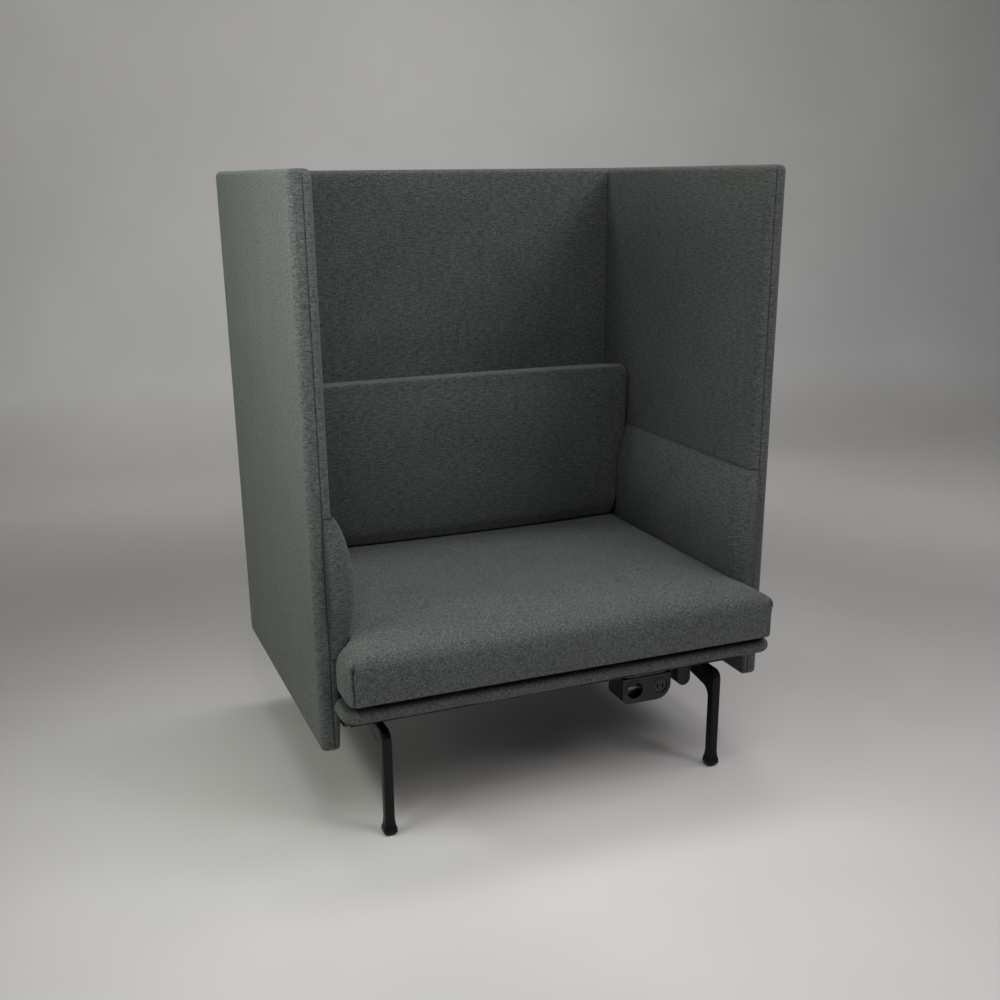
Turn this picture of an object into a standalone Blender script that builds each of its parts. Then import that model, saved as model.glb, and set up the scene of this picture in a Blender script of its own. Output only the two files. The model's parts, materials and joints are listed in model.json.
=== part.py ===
"""High back lounge chair, one seat wide, built as it comes apart on a bench.

Three upholstered panels (plywood boards inside foam and fabric sleeves) stand
round a thin upholstered deck. Timber rails, zigzag springs and a lip board lie
inside and under the deck, four cast legs are bolted to the side rails, and a
loose seat cushion and back cushion lie on top. A power unit hangs below the
front rail.

Units are metres. +X is the sitter's left as seen from the front of the chair,
towards the right of a front view, +Y runs to the rear and +Z is up. The origin
is on the floor, in the middle of the chair's width and depth.
"""
import math

import bmesh
import bpy
from mathutils import Matrix, Vector

# Whole chair
TOTAL_WIDTH = 0.952          # outside to outside of the side panels
TOTAL_HEIGHT = 1.220         # floor to the top of the panels
PANEL_DEPTH = 0.695          # front edge of a side panel to the back panel's rear face
CUSHION_REACH = 0.098        # seat cushion's front, ahead of the side panels
TOUCH = 0.0003               # gap left where two pieces touch

# Panels: a board in an upholstered sleeve
PANEL_THICK = 0.042
PANEL_BOTTOM = 0.186         # floor to the panels' lower edge
PANEL_EDGE = 0.012           # radius of the upholstered edges
BOARD_THICK = 0.018
BOARD_INSET = 0.014          # sleeve round the board's front, rear and top edges
STUD_RADIUS = 0.004
STUD_GRIP = 0.030            # length of a corner stud in the back board
STUD_LOW = 0.460             # heights of the corner studs
STUD_HIGH = 1.020
BOLT_CLEARANCE = 0.0003      # round every stud, bolt and stem

# Arm pads
PAD_TOP = 0.637
PAD_BOTTOM = 0.366
PAD_BULGE = 0.036            # how far a pad stands proud of its panel
PAD_RIM = 0.003              # thickness at a pad's upper and lower seams
PAD_END_RADIUS = 0.007

# Deck and what is inside it
DECK_TOP = 0.2985
DECK_THICK = 0.029
DECK_REACH = 0.086           # deck's front, ahead of the side panels
DECK_SIDE_GAP = 0.001        # to the panels at each side and at the rear
DECK_CORNER = 0.018          # plan radius of the front corners
DECK_FLARE = 0.0190          # how far the deck's front widens, ahead of the side panels
DECK_NOSE_TOP = 0.012        # rounding of the upper and lower edges
DECK_NOSE_LOW = 0.009
DECK_SKIN = 0.012            # foam and fabric over the springs
DECK_WRAP = 0.0027           # fabric under the lip board
DECK_SIDE_WALL = 0.0127
LIP_THICK = 0.0095
LIP_MARGIN = 0.0100          # padding ahead of the lip board
SPRING_COUNT = 5
SPRING_WIRE = 0.0018         # radius of the wire
SPRING_SWEEP = 0.021         # half the width of a zigzag
SPRING_BENDS = 12
SPRING_SEAT = 0.012          # straight end that lies on a rail

# Timber rails
RAIL_BOTTOM = 0.2275
FRONT_RAIL_DEPTH = 0.030
REAR_RAIL_DEPTH = 0.030
SIDE_RAIL_WIDTH = 0.090
CHANNEL_REACH = 0.030        # front end of a side channel, ahead of the panels
CHANNEL_WALL = 0.003
CHANNEL_LOW = 0.231
CHANNEL_BACK_GAP = 0.060     # rear end of a side channel to the back panel
DUST_THICK = 0.001
DUST_LIFT = 0.0015           # dust cover above the rails' lower faces
BOLT_HEIGHT = 0.250          # panel and back bolts
BOLT_RADIUS = 0.004
BOLT_HEAD_RADIUS = 0.0065
BOLT_HEAD = 0.0042
BOLT_GRIP = 0.012            # how deep a panel bolt goes into its board
PANEL_BOLT_INSET = 0.110     # from the panel's front and from the back panel
BACK_BOLT_INSET = 0.204      # from the sitter's side of a side panel

# Legs
LEG_INSET = 0.075            # leg centre to the sitter's side of the side panel
FRONT_LEG_REACH = 0.019      # leg centre ahead of the side panels' front edge
REAR_LEG_INSET = 0.085       # leg centre ahead of the back panel's rear face
LEG_HALF_X = 0.0100
LEG_HALF_Y = 0.0112
FOOT_SPREAD = 0.0042         # how far the foot flares past the shaft
FOOT_HEIGHT = 0.034
ARM_LENGTH = 0.128           # leg's centre to the end of its arm
ARM_DROP = 0.044             # arm's underside at the knee, below the flange's underside
ARM_RISE = 0.014             # how much the underside climbs to the arm's end
KNEE_OUTER = 0.016
KNEE_INNER = 0.027
FLANGE_THICK = 0.008
FLANGE_HALF_X = 0.0245
FLANGE_START = 0.040         # leg's centre to the near edge of its flange
FLANGE_CORNER = 0.008
LEG_BOLT_X = 0.0180
LEG_BOLT_RADIUS = 0.003
LEG_BOLT_HEAD = 0.0050
LEG_BOLT_HEAD_HEIGHT = 0.0036
LEG_BOLT_GRIP = 0.026
GLIDE_RADIUS = 0.0122
GLIDE_THICK = 0.0050
STEM_RADIUS = 0.0040
STEM_LENGTH = 0.014

# Cushions
SEAT_SIDE_GAP = 0.0045       # seat cushion to each side panel
SEAT_REAR_GAP = 0.0030
SEAT_PAD_GAP = 0.0015        # to the arm pads, where they press on its upper edges
SEAT_EDGE_HEIGHT = 0.1065    # at the rim
SEAT_CROWN = 0.0060          # rise in the middle
SEAT_CORNER = 0.014          # plan radius of the corners
SEAT_SIDE_ROLL = 0.024       # how far in the top rolls over at the sides
SEAT_FRONT_ROLL = 0.038      # and at the front and rear
SEAT_ROLL_HEIGHT = 0.030
SEAT_LOW_ROLL = 0.013
SEAT_DRAW = 0.0030           # how far the seams pull in between the corners
SEAT_FLARE = 0.0190          # how far the ends swell out, ahead of the side panels
FLARE_START = 0.003          # both flares begin this far behind the panels' front edge
FLARE_LENGTH = 0.020
BACK_HEIGHT = 0.357
BACK_THICK = 0.138           # at the rim
BACK_CROWN = 0.034           # swell of the front in the middle
BACK_LOW_CROWN = 0.5         # share of the swell that reaches the upper and lower edges
BACK_SIDE_GAP = 0.0045
BACK_SEAT_GAP = 0.0005       # above the seat cushion's crowned top
BACK_CORNER = 0.024
BACK_FRONT_ROLL = 0.036
BACK_REAR_ROLL = 0.018
BACK_RISE = 0.0040           # top edge's rise between its corners
BACK_EASE = 0.020            # height over which the ends widen again above the arm pads

# Power unit below the front rail
POWER_INSET = 0.227          # unit's middle to the sitter's side of the right panel
POWER_WIDTH = 0.112
POWER_DEPTH = 0.060
POWER_DROP = 0.0565
POWER_LEFT_RADIUS = 0.016
POWER_RIGHT_RADIUS = 0.031
PLATE_THICK = 0.0024         # hanger plate
BEZEL_THICK = 0.0030
SOCKET_X = -0.028            # from the unit's middle
CHARGER_X = 0.032
FACE_Z = 0.0295              # socket and charger centres, above the unit's underside
SOCKET_OUTER = 0.0205
SOCKET_WELL = 0.0180
SOCKET_DEPTH = 0.0150
SOCKET_FLOOR = 0.0030
SOCKET_PROUD = 0.0012
PIN_RADIUS = 0.0026
PIN_OFFSET = 0.0095
CLIP_WIDTH = 0.0050
CLIP_THICK = 0.0008
CLIP_LENGTH = 0.0090
CHARGER_OUTER = 0.0175
CHARGER_DEPTH = 0.0160
CHARGER_DISH = 0.0015
PORT_SPACING = 0.0120
PORT_WIDTH = 0.0030
PORT_HEIGHT = 0.0090
PORT_DEPTH = 0.0060
INLET_GAP = 0.043            # inlet's middle to the unit's side
INLET_WIDTH = 0.030
INLET_START = 0.016          # behind the front of the front rail
INLET_DEPTH = 0.036
INLET_DROP = 0.048
INLET_WELL_WIDTH = 0.020
INLET_WELL_HEIGHT = 0.013
INLET_WELL_DEPTH = 0.012
NECK_RADIUS = 0.0065

# Places worked out from the sizes
PANEL_FRONT = (CUSHION_REACH - PANEL_DEPTH) / 2
PANEL_REAR = PANEL_FRONT + PANEL_DEPTH
BACK_FACE = PANEL_REAR - PANEL_THICK            # sitter's side of the back panel
HALF_WIDTH = TOTAL_WIDTH / 2
INNER_X = HALF_WIDTH - PANEL_THICK              # sitter's side of a side panel
BOARD_SIDE = (PANEL_THICK - BOARD_THICK) / 2    # padding at each side of a board
DECK_BOTTOM = DECK_TOP - DECK_THICK
DECK_HALF = INNER_X - DECK_SIDE_GAP
DECK_FRONT = PANEL_FRONT - DECK_REACH
SKIN_UNDER = DECK_TOP - DECK_SKIN
FRAME_HALF = DECK_HALF - DECK_SIDE_WALL - TOUCH
LIP_BOTTOM = DECK_BOTTOM + DECK_WRAP + TOUCH
LIP_TOP = LIP_BOTTOM + LIP_THICK
FRONT_RAIL_BACK = PANEL_FRONT + FRONT_RAIL_DEPTH
SIDE_RAIL_INNER = FRAME_HALF - SIDE_RAIL_WIDTH
REAR_RAIL_FRONT = BACK_FACE - TOUCH - REAR_RAIL_DEPTH
SEAT_BOTTOM = DECK_TOP + TOUCH
SEAT_FRONT = PANEL_FRONT - CUSHION_REACH
SEAT_REAR = BACK_FACE - SEAT_REAR_GAP
LEG_X = INNER_X - LEG_INSET
POWER_X = INNER_X - POWER_INSET
INLET_X = POWER_X + POWER_WIDTH / 2 + INLET_GAP
POWER_TOP = RAIL_BOTTOM - TOUCH - PLATE_THICK - TOUCH
POWER_LOW = POWER_TOP - POWER_DROP
POWER_FRONT = PANEL_FRONT


def material(name, colour, roughness, metallic=0.0):
    """Return a Principled material with the given colour, roughness and metallic value."""
    made = bpy.data.materials.new(name)
    made.use_nodes = True
    shader = made.node_tree.nodes["Principled BSDF"]
    shader.inputs["Base Color"].default_value = (*colour, 1.0)
    shader.inputs["Roughness"].default_value = roughness
    shader.inputs["Metallic"].default_value = metallic
    made.diffuse_color = (*colour, 1.0)
    return made


def add_object(name, mesh, finish=None, place=(0, 0, 0), turn=0.0):
    """Link a named object that shows mesh at a place, turned about Z."""
    made = bpy.data.objects.new(name, mesh)
    made.location = place
    made.rotation_euler = (0, 0, turn)
    if finish is not None and not mesh.materials:
        mesh.materials.append(finish)
    bpy.context.scene.collection.objects.link(made)
    return made


def to_mesh(name, shape, smooth_angle=35.0):
    """Turn a bmesh into a mesh with outward faces and smooth shading below an angle."""
    bmesh.ops.recalc_face_normals(shape, faces=shape.faces)
    mesh = bpy.data.meshes.new(name)
    shape.to_mesh(mesh)
    shape.free()
    mesh.shade_smooth()
    mesh.set_sharp_from_angle(angle=math.radians(smooth_angle))
    return mesh


def box_shape(low, high):
    """Return a bmesh box between two corners."""
    shape = bmesh.new()
    middle = (Vector(low) + Vector(high)) / 2
    size = Vector(high) - Vector(low)
    bmesh.ops.create_cube(shape, size=1.0, matrix=Matrix.Translation(middle) @ Matrix.Diagonal((*size, 1.0)))
    return shape


def bevel(shape, edges, radius, segments=3):
    """Round the given edges of a bmesh."""
    bmesh.ops.bevel(shape, geom=edges, offset=radius, segments=segments, profile=0.5, affect="EDGES")


def box(name, low, high, finish, radius=0.0, segments=2):
    """Add a box between two corners, with every edge rounded if a radius is given."""
    shape = box_shape(low, high)
    if radius > 0:
        bevel(shape, shape.edges[:], radius, segments)
    return add_object(name, to_mesh(name, shape), finish)


def prism_shape(outline, start, end, axis):
    """Extrude a closed outline along Y (points are x, z) or along Z (points are x, y)."""
    shape = bmesh.new()
    if axis == "Y":
        corners = [shape.verts.new((x, start, z)) for x, z in outline]
        step = Vector((0, end - start, 0))
    else:
        corners = [shape.verts.new((x, y, start)) for x, y in outline]
        step = Vector((0, 0, end - start))
    face = shape.faces.new(corners)
    extruded = bmesh.ops.extrude_face_region(shape, geom=[face])
    moved = [item for item in extruded["geom"] if isinstance(item, bmesh.types.BMVert)]
    bmesh.ops.translate(shape, verts=moved, vec=step)
    return shape


def corner_arc(centre, radius, start, end, steps):
    """Return points on an arc in a plane, angles in degrees."""
    points = []
    for index in range(steps + 1):
        angle = math.radians(start + (end - start) * index / steps)
        points.append((centre[0] + radius * math.cos(angle), centre[1] + radius * math.sin(angle)))
    return points


def rounded_rectangle(low, high, radius, steps=3):
    """Return the outline of a rectangle with round corners, anticlockwise."""
    points = corner_arc((high[0] - radius, high[1] - radius), radius, 0, 90, steps)
    points += corner_arc((low[0] + radius, high[1] - radius), radius, 90, 180, steps)
    points += corner_arc((low[0] + radius, low[1] + radius), radius, 180, 270, steps)
    points += corner_arc((high[0] - radius, low[1] + radius), radius, 270, 360, steps)
    return points


def loft_shape(rings):
    """Skin rings of equal point counts and close both ends with flat faces."""
    shape = bmesh.new()
    rows = [[shape.verts.new(point) for point in ring] for ring in rings]
    count = len(rows[0])
    for lower, upper in zip(rows, rows[1:]):
        for index in range(count):
            follow = (index + 1) % count
            shape.faces.new((lower[index], lower[follow], upper[follow], upper[index]))
    shape.faces.new(rows[0])
    shape.faces.new(rows[-1])
    return shape


def turned_shape(profile, centre, axis, sides=24):
    """Revolve (radius, distance) pairs about an axis through centre, closed at both ends."""
    across = {"X": (Vector((0, 1, 0)), Vector((0, 0, 1))),
              "Y": (Vector((0, 0, 1)), Vector((1, 0, 0))),
              "Z": (Vector((1, 0, 0)), Vector((0, 1, 0)))}[axis]
    along = across[0].cross(across[1])
    rings = []
    for radius, distance in profile:
        ring = []
        for index in range(sides):
            angle = 2 * math.pi * index / sides
            side = across[0] * math.cos(angle) + across[1] * math.sin(angle)
            ring.append(Vector(centre) + along * distance + side * radius)
        rings.append(ring)
    return loft_shape(rings)


def cutter(name, shape):
    """Add a hidden wire object that other pieces are cut with."""
    made = add_object(name, to_mesh(name, shape))
    made.hide_render = True
    made.display_type = "WIRE"
    return made


def combine(target, tool, operation="DIFFERENCE"):
    """Give target an exact Boolean with tool."""
    step = target.modifiers.new(tool.name, "BOOLEAN")
    step.operation = operation
    step.object = tool
    step.solver = "EXACT"


def baked_mesh(source, extras):
    """Return source's mesh with its modifiers applied, and remove source and extras."""
    bpy.context.view_layer.update()
    graph = bpy.context.evaluated_depsgraph_get()
    mesh = bpy.data.meshes.new_from_object(source.evaluated_get(graph))
    for item in [source, *extras]:
        bpy.data.objects.remove(item, do_unlink=True)
    return mesh


def rod(name, start, end, radius, axis, sides=16):
    """Return a plain cylinder shape along an axis, for a cutter."""
    profile = [(radius, 0.0), (radius, end - start)]
    offset = {"X": (start, 0, 0), "Y": (0, start, 0), "Z": (0, 0, start)}[axis]
    return lambda centre: turned_shape(profile, Vector(centre) + Vector(offset), axis, sides)


def bore(target, label, centre, start, end, radius, axis, sides=16):
    """Cut a round hole through target from start to end along an axis."""
    shape = rod(label, start, end, radius, axis, sides)(centre)
    combine(target, cutter(f"cut_{target.name}_{label}", shape))


def even(spans):
    """Return shares from -1 to 1, evenly spaced."""
    return [2 * index / spans - 1 for index in range(spans + 1)]


def stations(half, radius, shares):
    """Return positions along one side of a soft form: dense where it turns, at shares between."""
    turn = [half, half - 0.586 * radius]
    return [-turn[0], -turn[1], *[(half - radius) * share for share in shares], turn[1], turn[0]]


def roll_levels(half, roll, way, steps=3):
    """Return (height, X inset, Y inset) where a soft form's side rolls over to its face."""
    levels = []
    for step in range(steps + 1):
        angle = math.pi / 2 * step / steps
        height = half - roll.z + roll.z * math.sin(angle)
        levels.append((way * height, roll.x * (1 - math.cos(angle)), roll.y * (1 - math.cos(angle))))
    return levels


def soft_block(size, corner_radius, rolls, shares, form):
    """Build a closed soft form: a block with round corners whose sides roll over to both faces.

    rolls holds the lower and the upper roll's radius along X, Y and Z, and shares the
    places of the points along X and Y between the corners, from -1 to 1. form receives a
    point, measured from the block's middle, and its place from -1 to 1 along X, Y and Z,
    and returns where the point goes.
    """
    half = Vector(size) / 2
    lower = roll_levels(half.z, Vector(rolls[0]), -1)[::-1]
    upper = roll_levels(half.z, Vector(rolls[1]), 1)
    levels = lower + [((lower[-1][0] + upper[0][0]) / 2, 0.0, 0.0)] + upper
    last = (len(shares[0]) + 3, len(shares[1]) + 3, len(levels) - 1)
    shape = bmesh.new()
    made = {}

    def corner(i, j, k):
        if (i, j, k) not in made:
            height, inset_x, inset_y = levels[k]
            reach = Vector((half.x - inset_x, half.y - inset_y))
            start = Vector((stations(reach.x, corner_radius, shares[0])[i],
                            stations(reach.y, corner_radius, shares[1])[j]))
            if i in (0, last[0]) or j in (0, last[1]):
                core = Vector((min(max(start.x, corner_radius - reach.x), reach.x - corner_radius),
                               min(max(start.y, corner_radius - reach.y), reach.y - corner_radius)))
                start = core + (start - core).normalized() * corner_radius
            point = Vector((start.x, start.y, height))
            place = Vector((point.x / half.x, point.y / half.y, point.z / half.z))
            made[(i, j, k)] = shape.verts.new(form(point, place))
        return made[(i, j, k)]

    for i in range(last[0]):
        for j in range(last[1]):
            for k in (0, last[2]):
                shape.faces.new([corner(i, j, k), corner(i + 1, j, k), corner(i + 1, j + 1, k), corner(i, j + 1, k)])
    for i in range(last[0]):
        for k in range(last[2]):
            for j in (0, last[1]):
                shape.faces.new([corner(i, j, k), corner(i + 1, j, k), corner(i + 1, j, k + 1), corner(i, j, k + 1)])
    for j in range(last[1]):
        for k in range(last[2]):
            for i in (0, last[0]):
                shape.faces.new([corner(i, j, k), corner(i, j + 1, k), corner(i, j + 1, k + 1), corner(i, j, k + 1)])
    return shape


def side_name(side):
    """Return the chair's side as seen from the front of it."""
    return "left" if side < 0 else "right"


def make_side_panel(side, fabric, plywood):
    """Build one side panel: its board, and the sleeve with its pocket open at the bottom."""
    name = side_name(side)
    inner, outer = sorted((side * INNER_X, side * HALF_WIDTH))
    sleeve_low = (inner, PANEL_FRONT, PANEL_BOTTOM)
    sleeve_high = (outer, PANEL_REAR, TOTAL_HEIGHT)
    sleeve = box(f"{name}_side_cover", sleeve_low, sleeve_high, fabric, PANEL_EDGE, 3)
    board_low = Vector((inner + BOARD_SIDE, PANEL_FRONT + BOARD_INSET, PANEL_BOTTOM + TOUCH))
    board_high = Vector((outer - BOARD_SIDE, PANEL_REAR - BOARD_INSET, TOTAL_HEIGHT - BOARD_INSET))
    board = box(f"{name}_side_board", board_low, board_high, plywood)
    room = Vector((TOUCH, TOUCH, TOUCH))
    pocket_low = board_low - room
    pocket_low.z = PANEL_BOTTOM - PANEL_EDGE
    combine(sleeve, cutter(f"cut_{name}_pocket", box_shape(pocket_low, board_high + room)))
    stud_y = PANEL_REAR - PANEL_THICK / 2
    reach = INNER_X - STUD_GRIP - BOARD_INSET
    for label, height in (("low", STUD_LOW), ("high", STUD_HIGH)):
        start, end = sorted((side * reach, side * (HALF_WIDTH - BOARD_SIDE + TOUCH / 2)))
        for piece in (sleeve, board):
            bore(piece, f"stud_{label}", (0, stud_y, height), start, end, STUD_RADIUS + BOLT_CLEARANCE, "X")
    for label, y in panel_bolt_places():
        start, end = sorted((side * (INNER_X - PANEL_EDGE), side * (INNER_X + BOARD_SIDE + BOLT_GRIP + TOUCH)))
        for piece in (sleeve, board):
            bore(piece, f"bolt_{label}", (0, y, BOLT_HEIGHT), start, end, BOLT_RADIUS + BOLT_CLEARANCE, "X")


def panel_bolt_places():
    """Return the names and Y positions of the bolts that hold a side panel."""
    return (("front", PANEL_FRONT + PANEL_BOLT_INSET), ("rear", BACK_FACE - PANEL_BOLT_INSET))


def back_bolt_places():
    """Return the names and X positions of the bolts that hold the back panel."""
    return (("left", BACK_BOLT_INSET - INNER_X), ("right", INNER_X - BACK_BOLT_INSET))


def make_back_panel(fabric, plywood):
    """Build the back panel between the side panels."""
    half = INNER_X - TOUCH
    sleeve_low = (-half, BACK_FACE, PANEL_BOTTOM)
    sleeve_high = (half, PANEL_REAR, TOTAL_HEIGHT)
    shape = box_shape(sleeve_low, sleeve_high)
    level = [edge for edge in shape.edges if abs(edge.verts[0].co.x - edge.verts[1].co.x) > half]
    bevel(shape, level, PANEL_EDGE)
    sleeve = add_object("back_cover", to_mesh("back_cover", shape), fabric)
    board_low = Vector((-half + BOARD_INSET, BACK_FACE + BOARD_SIDE, PANEL_BOTTOM + TOUCH))
    board_high = Vector((half - BOARD_INSET, PANEL_REAR - BOARD_SIDE, TOTAL_HEIGHT - BOARD_INSET))
    board = box("back_board", board_low, board_high, plywood)
    room = Vector((TOUCH, TOUCH, TOUCH))
    pocket_low = board_low - room
    pocket_low.z = PANEL_BOTTOM - PANEL_EDGE
    combine(sleeve, cutter("cut_back_pocket", box_shape(pocket_low, board_high + room)))
    stud_y = PANEL_REAR - PANEL_THICK / 2
    for side in (-1, 1):
        near, far = sorted((side * (INNER_X - BOARD_INSET - STUD_GRIP - TOUCH), side * HALF_WIDTH))
        for label, height in (("low", STUD_LOW), ("high", STUD_HIGH)):
            for piece in (sleeve, board):
                bore(piece, f"{side_name(side)}_stud_{label}", (0, stud_y, height), near, far,
                     STUD_RADIUS + BOLT_CLEARANCE, "X")
    for label, x in back_bolt_places():
        start = BACK_FACE - PANEL_EDGE
        end = BACK_FACE + BOARD_SIDE + BOLT_GRIP + TOUCH
        for piece in (sleeve, board):
            bore(piece, f"bolt_{label}", (x, 0, BOLT_HEIGHT), start, end, BOLT_RADIUS + BOLT_CLEARANCE, "Y")


def make_corner_studs(steel):
    """Add the studs that join the side boards to the back board."""
    stud_y = PANEL_REAR - PANEL_THICK / 2
    inner_end = INNER_X - BOARD_INSET - STUD_GRIP
    outer_end = HALF_WIDTH - BOARD_SIDE - TOUCH
    length = outer_end - inner_end
    chamfer = STUD_RADIUS / 4
    profile = [(STUD_RADIUS - chamfer, 0), (STUD_RADIUS, chamfer),
               (STUD_RADIUS, length - chamfer), (STUD_RADIUS - chamfer, length)]
    for side in (-1, 1):
        start = inner_end if side > 0 else -outer_end
        for label, height in (("low", STUD_LOW), ("high", STUD_HIGH)):
            name = f"corner_stud_{side_name(side)}_{label}"
            shape = turned_shape(profile, (start, stud_y, height), "X", 12)
            add_object(name, to_mesh(name, shape), steel)


def make_arm_pad(side, fabric):
    """Build one arm pad: a lens-shaped section run along the side panel's inner face."""
    name = f"{side_name(side)}_arm_pad"
    front = PANEL_FRONT + PAD_END_RADIUS / 2
    rear = BACK_FACE - TOUCH
    wall = INNER_X - TOUCH
    middle = (PAD_TOP + PAD_BOTTOM) / 2
    half = (PAD_TOP - PAD_BOTTOM) / 2
    spans = 12

    def ring(y, inset):
        points = []
        for index in range(spans + 1):
            share = math.cos(math.pi * index / spans)
            height = middle + (half - inset) * share
            bulge = pad_bulge(height, inset) - inset
            points.append((side * (wall - max(bulge, PAD_RIM / 3)), y, height))
        points.append((side * wall, y, middle - half + inset))
        points.append((side * wall, y, middle + half - inset))
        return points

    rings = [ring(front, PAD_END_RADIUS * 0.6),
             ring(front + PAD_END_RADIUS * 0.3, PAD_END_RADIUS * 0.15),
             ring(front + PAD_END_RADIUS, 0.0)]
    length = rear - front - 2 * PAD_END_RADIUS
    rings += [ring(front + PAD_END_RADIUS + length * index / 4, 0.0) for index in (1, 2, 3)]
    rings.append(ring(rear, 0.0))
    add_object(name, to_mesh(name, loft_shape(rings), 60), fabric)


def make_deck(fabric):
    """Build the deck's upholstery: a round-nosed slab, hollow below for rails and springs."""
    low = (-DECK_HALF, DECK_FRONT, DECK_BOTTOM)
    high = (DECK_HALF, BACK_FACE - DECK_SIDE_GAP, DECK_TOP)
    shape = box_shape(low, high)
    front_corners = [edge for edge in shape.edges
                     if abs(edge.verts[0].co.z - edge.verts[1].co.z) > DECK_THICK / 2
                     and edge.verts[0].co.y < 0]
    bevel(shape, front_corners, DECK_CORNER, 4)
    for level, radius in ((DECK_TOP, DECK_NOSE_TOP), (DECK_BOTTOM, DECK_NOSE_LOW)):
        rim = [edge for edge in shape.edges
               if all(abs(corner.co.z - level) < 1e-6 for corner in edge.verts)
               and not all(corner.co.y > high[1] - 1e-6 for corner in edge.verts)]
        bevel(shape, rim, radius, 3)
    for step in range(4):
        place = Vector((0, PANEL_FRONT + FLARE_START - FLARE_LENGTH * step / 3, 0))
        whole = shape.verts[:] + shape.edges[:] + shape.faces[:]
        bmesh.ops.bisect_plane(shape, geom=whole, plane_co=place, plane_no=(0, 1, 0))
    for corner in shape.verts:
        corner.co.x += DECK_FLARE * flare(corner.co.y) * (corner.co.x / DECK_HALF) ** 5
    deck = add_object("deck_cover", to_mesh("deck_cover", shape), fabric)
    hollow_half = FRAME_HALF + TOUCH
    behind = BACK_FACE + PANEL_EDGE
    hollow = box_shape((-hollow_half, PANEL_FRONT - TOUCH, DECK_BOTTOM - PANEL_EDGE), (hollow_half, behind, SKIN_UNDER))
    combine(deck, cutter("cut_deck_hollow", hollow))
    pocket_low = (-hollow_half, DECK_FRONT + LIP_MARGIN - TOUCH, LIP_BOTTOM - TOUCH)
    pocket_high = (hollow_half, FRONT_RAIL_BACK, LIP_TOP + TOUCH)
    combine(deck, cutter("cut_deck_lip_pocket", box_shape(pocket_low, pocket_high)))


def make_rails(timber, plywood):
    """Build the timber frame and the lip board that carries the deck's front."""
    box("front_rail", (-FRAME_HALF, PANEL_FRONT, RAIL_BOTTOM),
        (FRAME_HALF, FRONT_RAIL_BACK, LIP_BOTTOM - TOUCH), timber)
    box("lip_board", (-FRAME_HALF, DECK_FRONT + LIP_MARGIN, LIP_BOTTOM),
        (FRAME_HALF, FRONT_RAIL_BACK, LIP_TOP), plywood)
    rear = box("rear_rail", (-SIDE_RAIL_INNER + TOUCH, REAR_RAIL_FRONT, RAIL_BOTTOM),
               (SIDE_RAIL_INNER - TOUCH, BACK_FACE - TOUCH, LIP_TOP), timber)
    for label, x in back_bolt_places():
        bore(rear, f"bolt_{label}", (x, 0, BOLT_HEIGHT), REAR_RAIL_FRONT - PANEL_EDGE, BACK_FACE + PANEL_EDGE,
             BOLT_RADIUS + BOLT_CLEARANCE, "Y")
    for side in (-1, 1):
        inner, outer = sorted((side * SIDE_RAIL_INNER, side * FRAME_HALF))
        rail = box(f"{side_name(side)}_rail", (inner, FRONT_RAIL_BACK + TOUCH, RAIL_BOTTOM),
                   (outer, BACK_FACE - TOUCH, SKIN_UNDER - TOUCH), timber)
        for index, (x, y) in enumerate(leg_bolt_places()):
            if x * side > 0:
                bore(rail, f"leg_bolt_{index}", (x, y, 0), RAIL_BOTTOM - PANEL_EDGE,
                     RAIL_BOTTOM + LEG_BOLT_GRIP, LEG_BOLT_RADIUS + BOLT_CLEARANCE, "Z", 12)


def make_springs(steel):
    """Add the zigzag springs, each one wire, from the lip board to the rear rail."""
    height = LIP_TOP + TOUCH + SPRING_WIRE
    front = FRONT_RAIL_BACK - SPRING_SEAT
    rear = REAR_RAIL_FRONT + SPRING_SEAT
    length = rear - front
    spacing = 2 * SIDE_RAIL_INNER / SPRING_COUNT
    for index in range(SPRING_COUNT):
        centre = (index - (SPRING_COUNT - 1) / 2) * spacing
        curve = bpy.data.curves.new(f"seat_spring_{index + 1}", "CURVE")
        curve.dimensions = "3D"
        curve.bevel_depth = SPRING_WIRE
        curve.bevel_resolution = 1
        curve.use_fill_caps = True
        line = curve.splines.new("POLY")
        steps = SPRING_BENDS * 4
        line.points.add(steps)
        for step in range(steps + 1):
            share = step / steps
            wave = math.sin(math.pi * SPRING_BENDS * share)
            sweep = SPRING_SWEEP * math.copysign(abs(wave) ** 0.7, wave)
            line.points[step].co = (centre + sweep, front + length * share, height, 1.0)
        curve.materials.append(steel)
        made = bpy.data.objects.new(curve.name, curve)
        bpy.context.scene.collection.objects.link(made)


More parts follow.
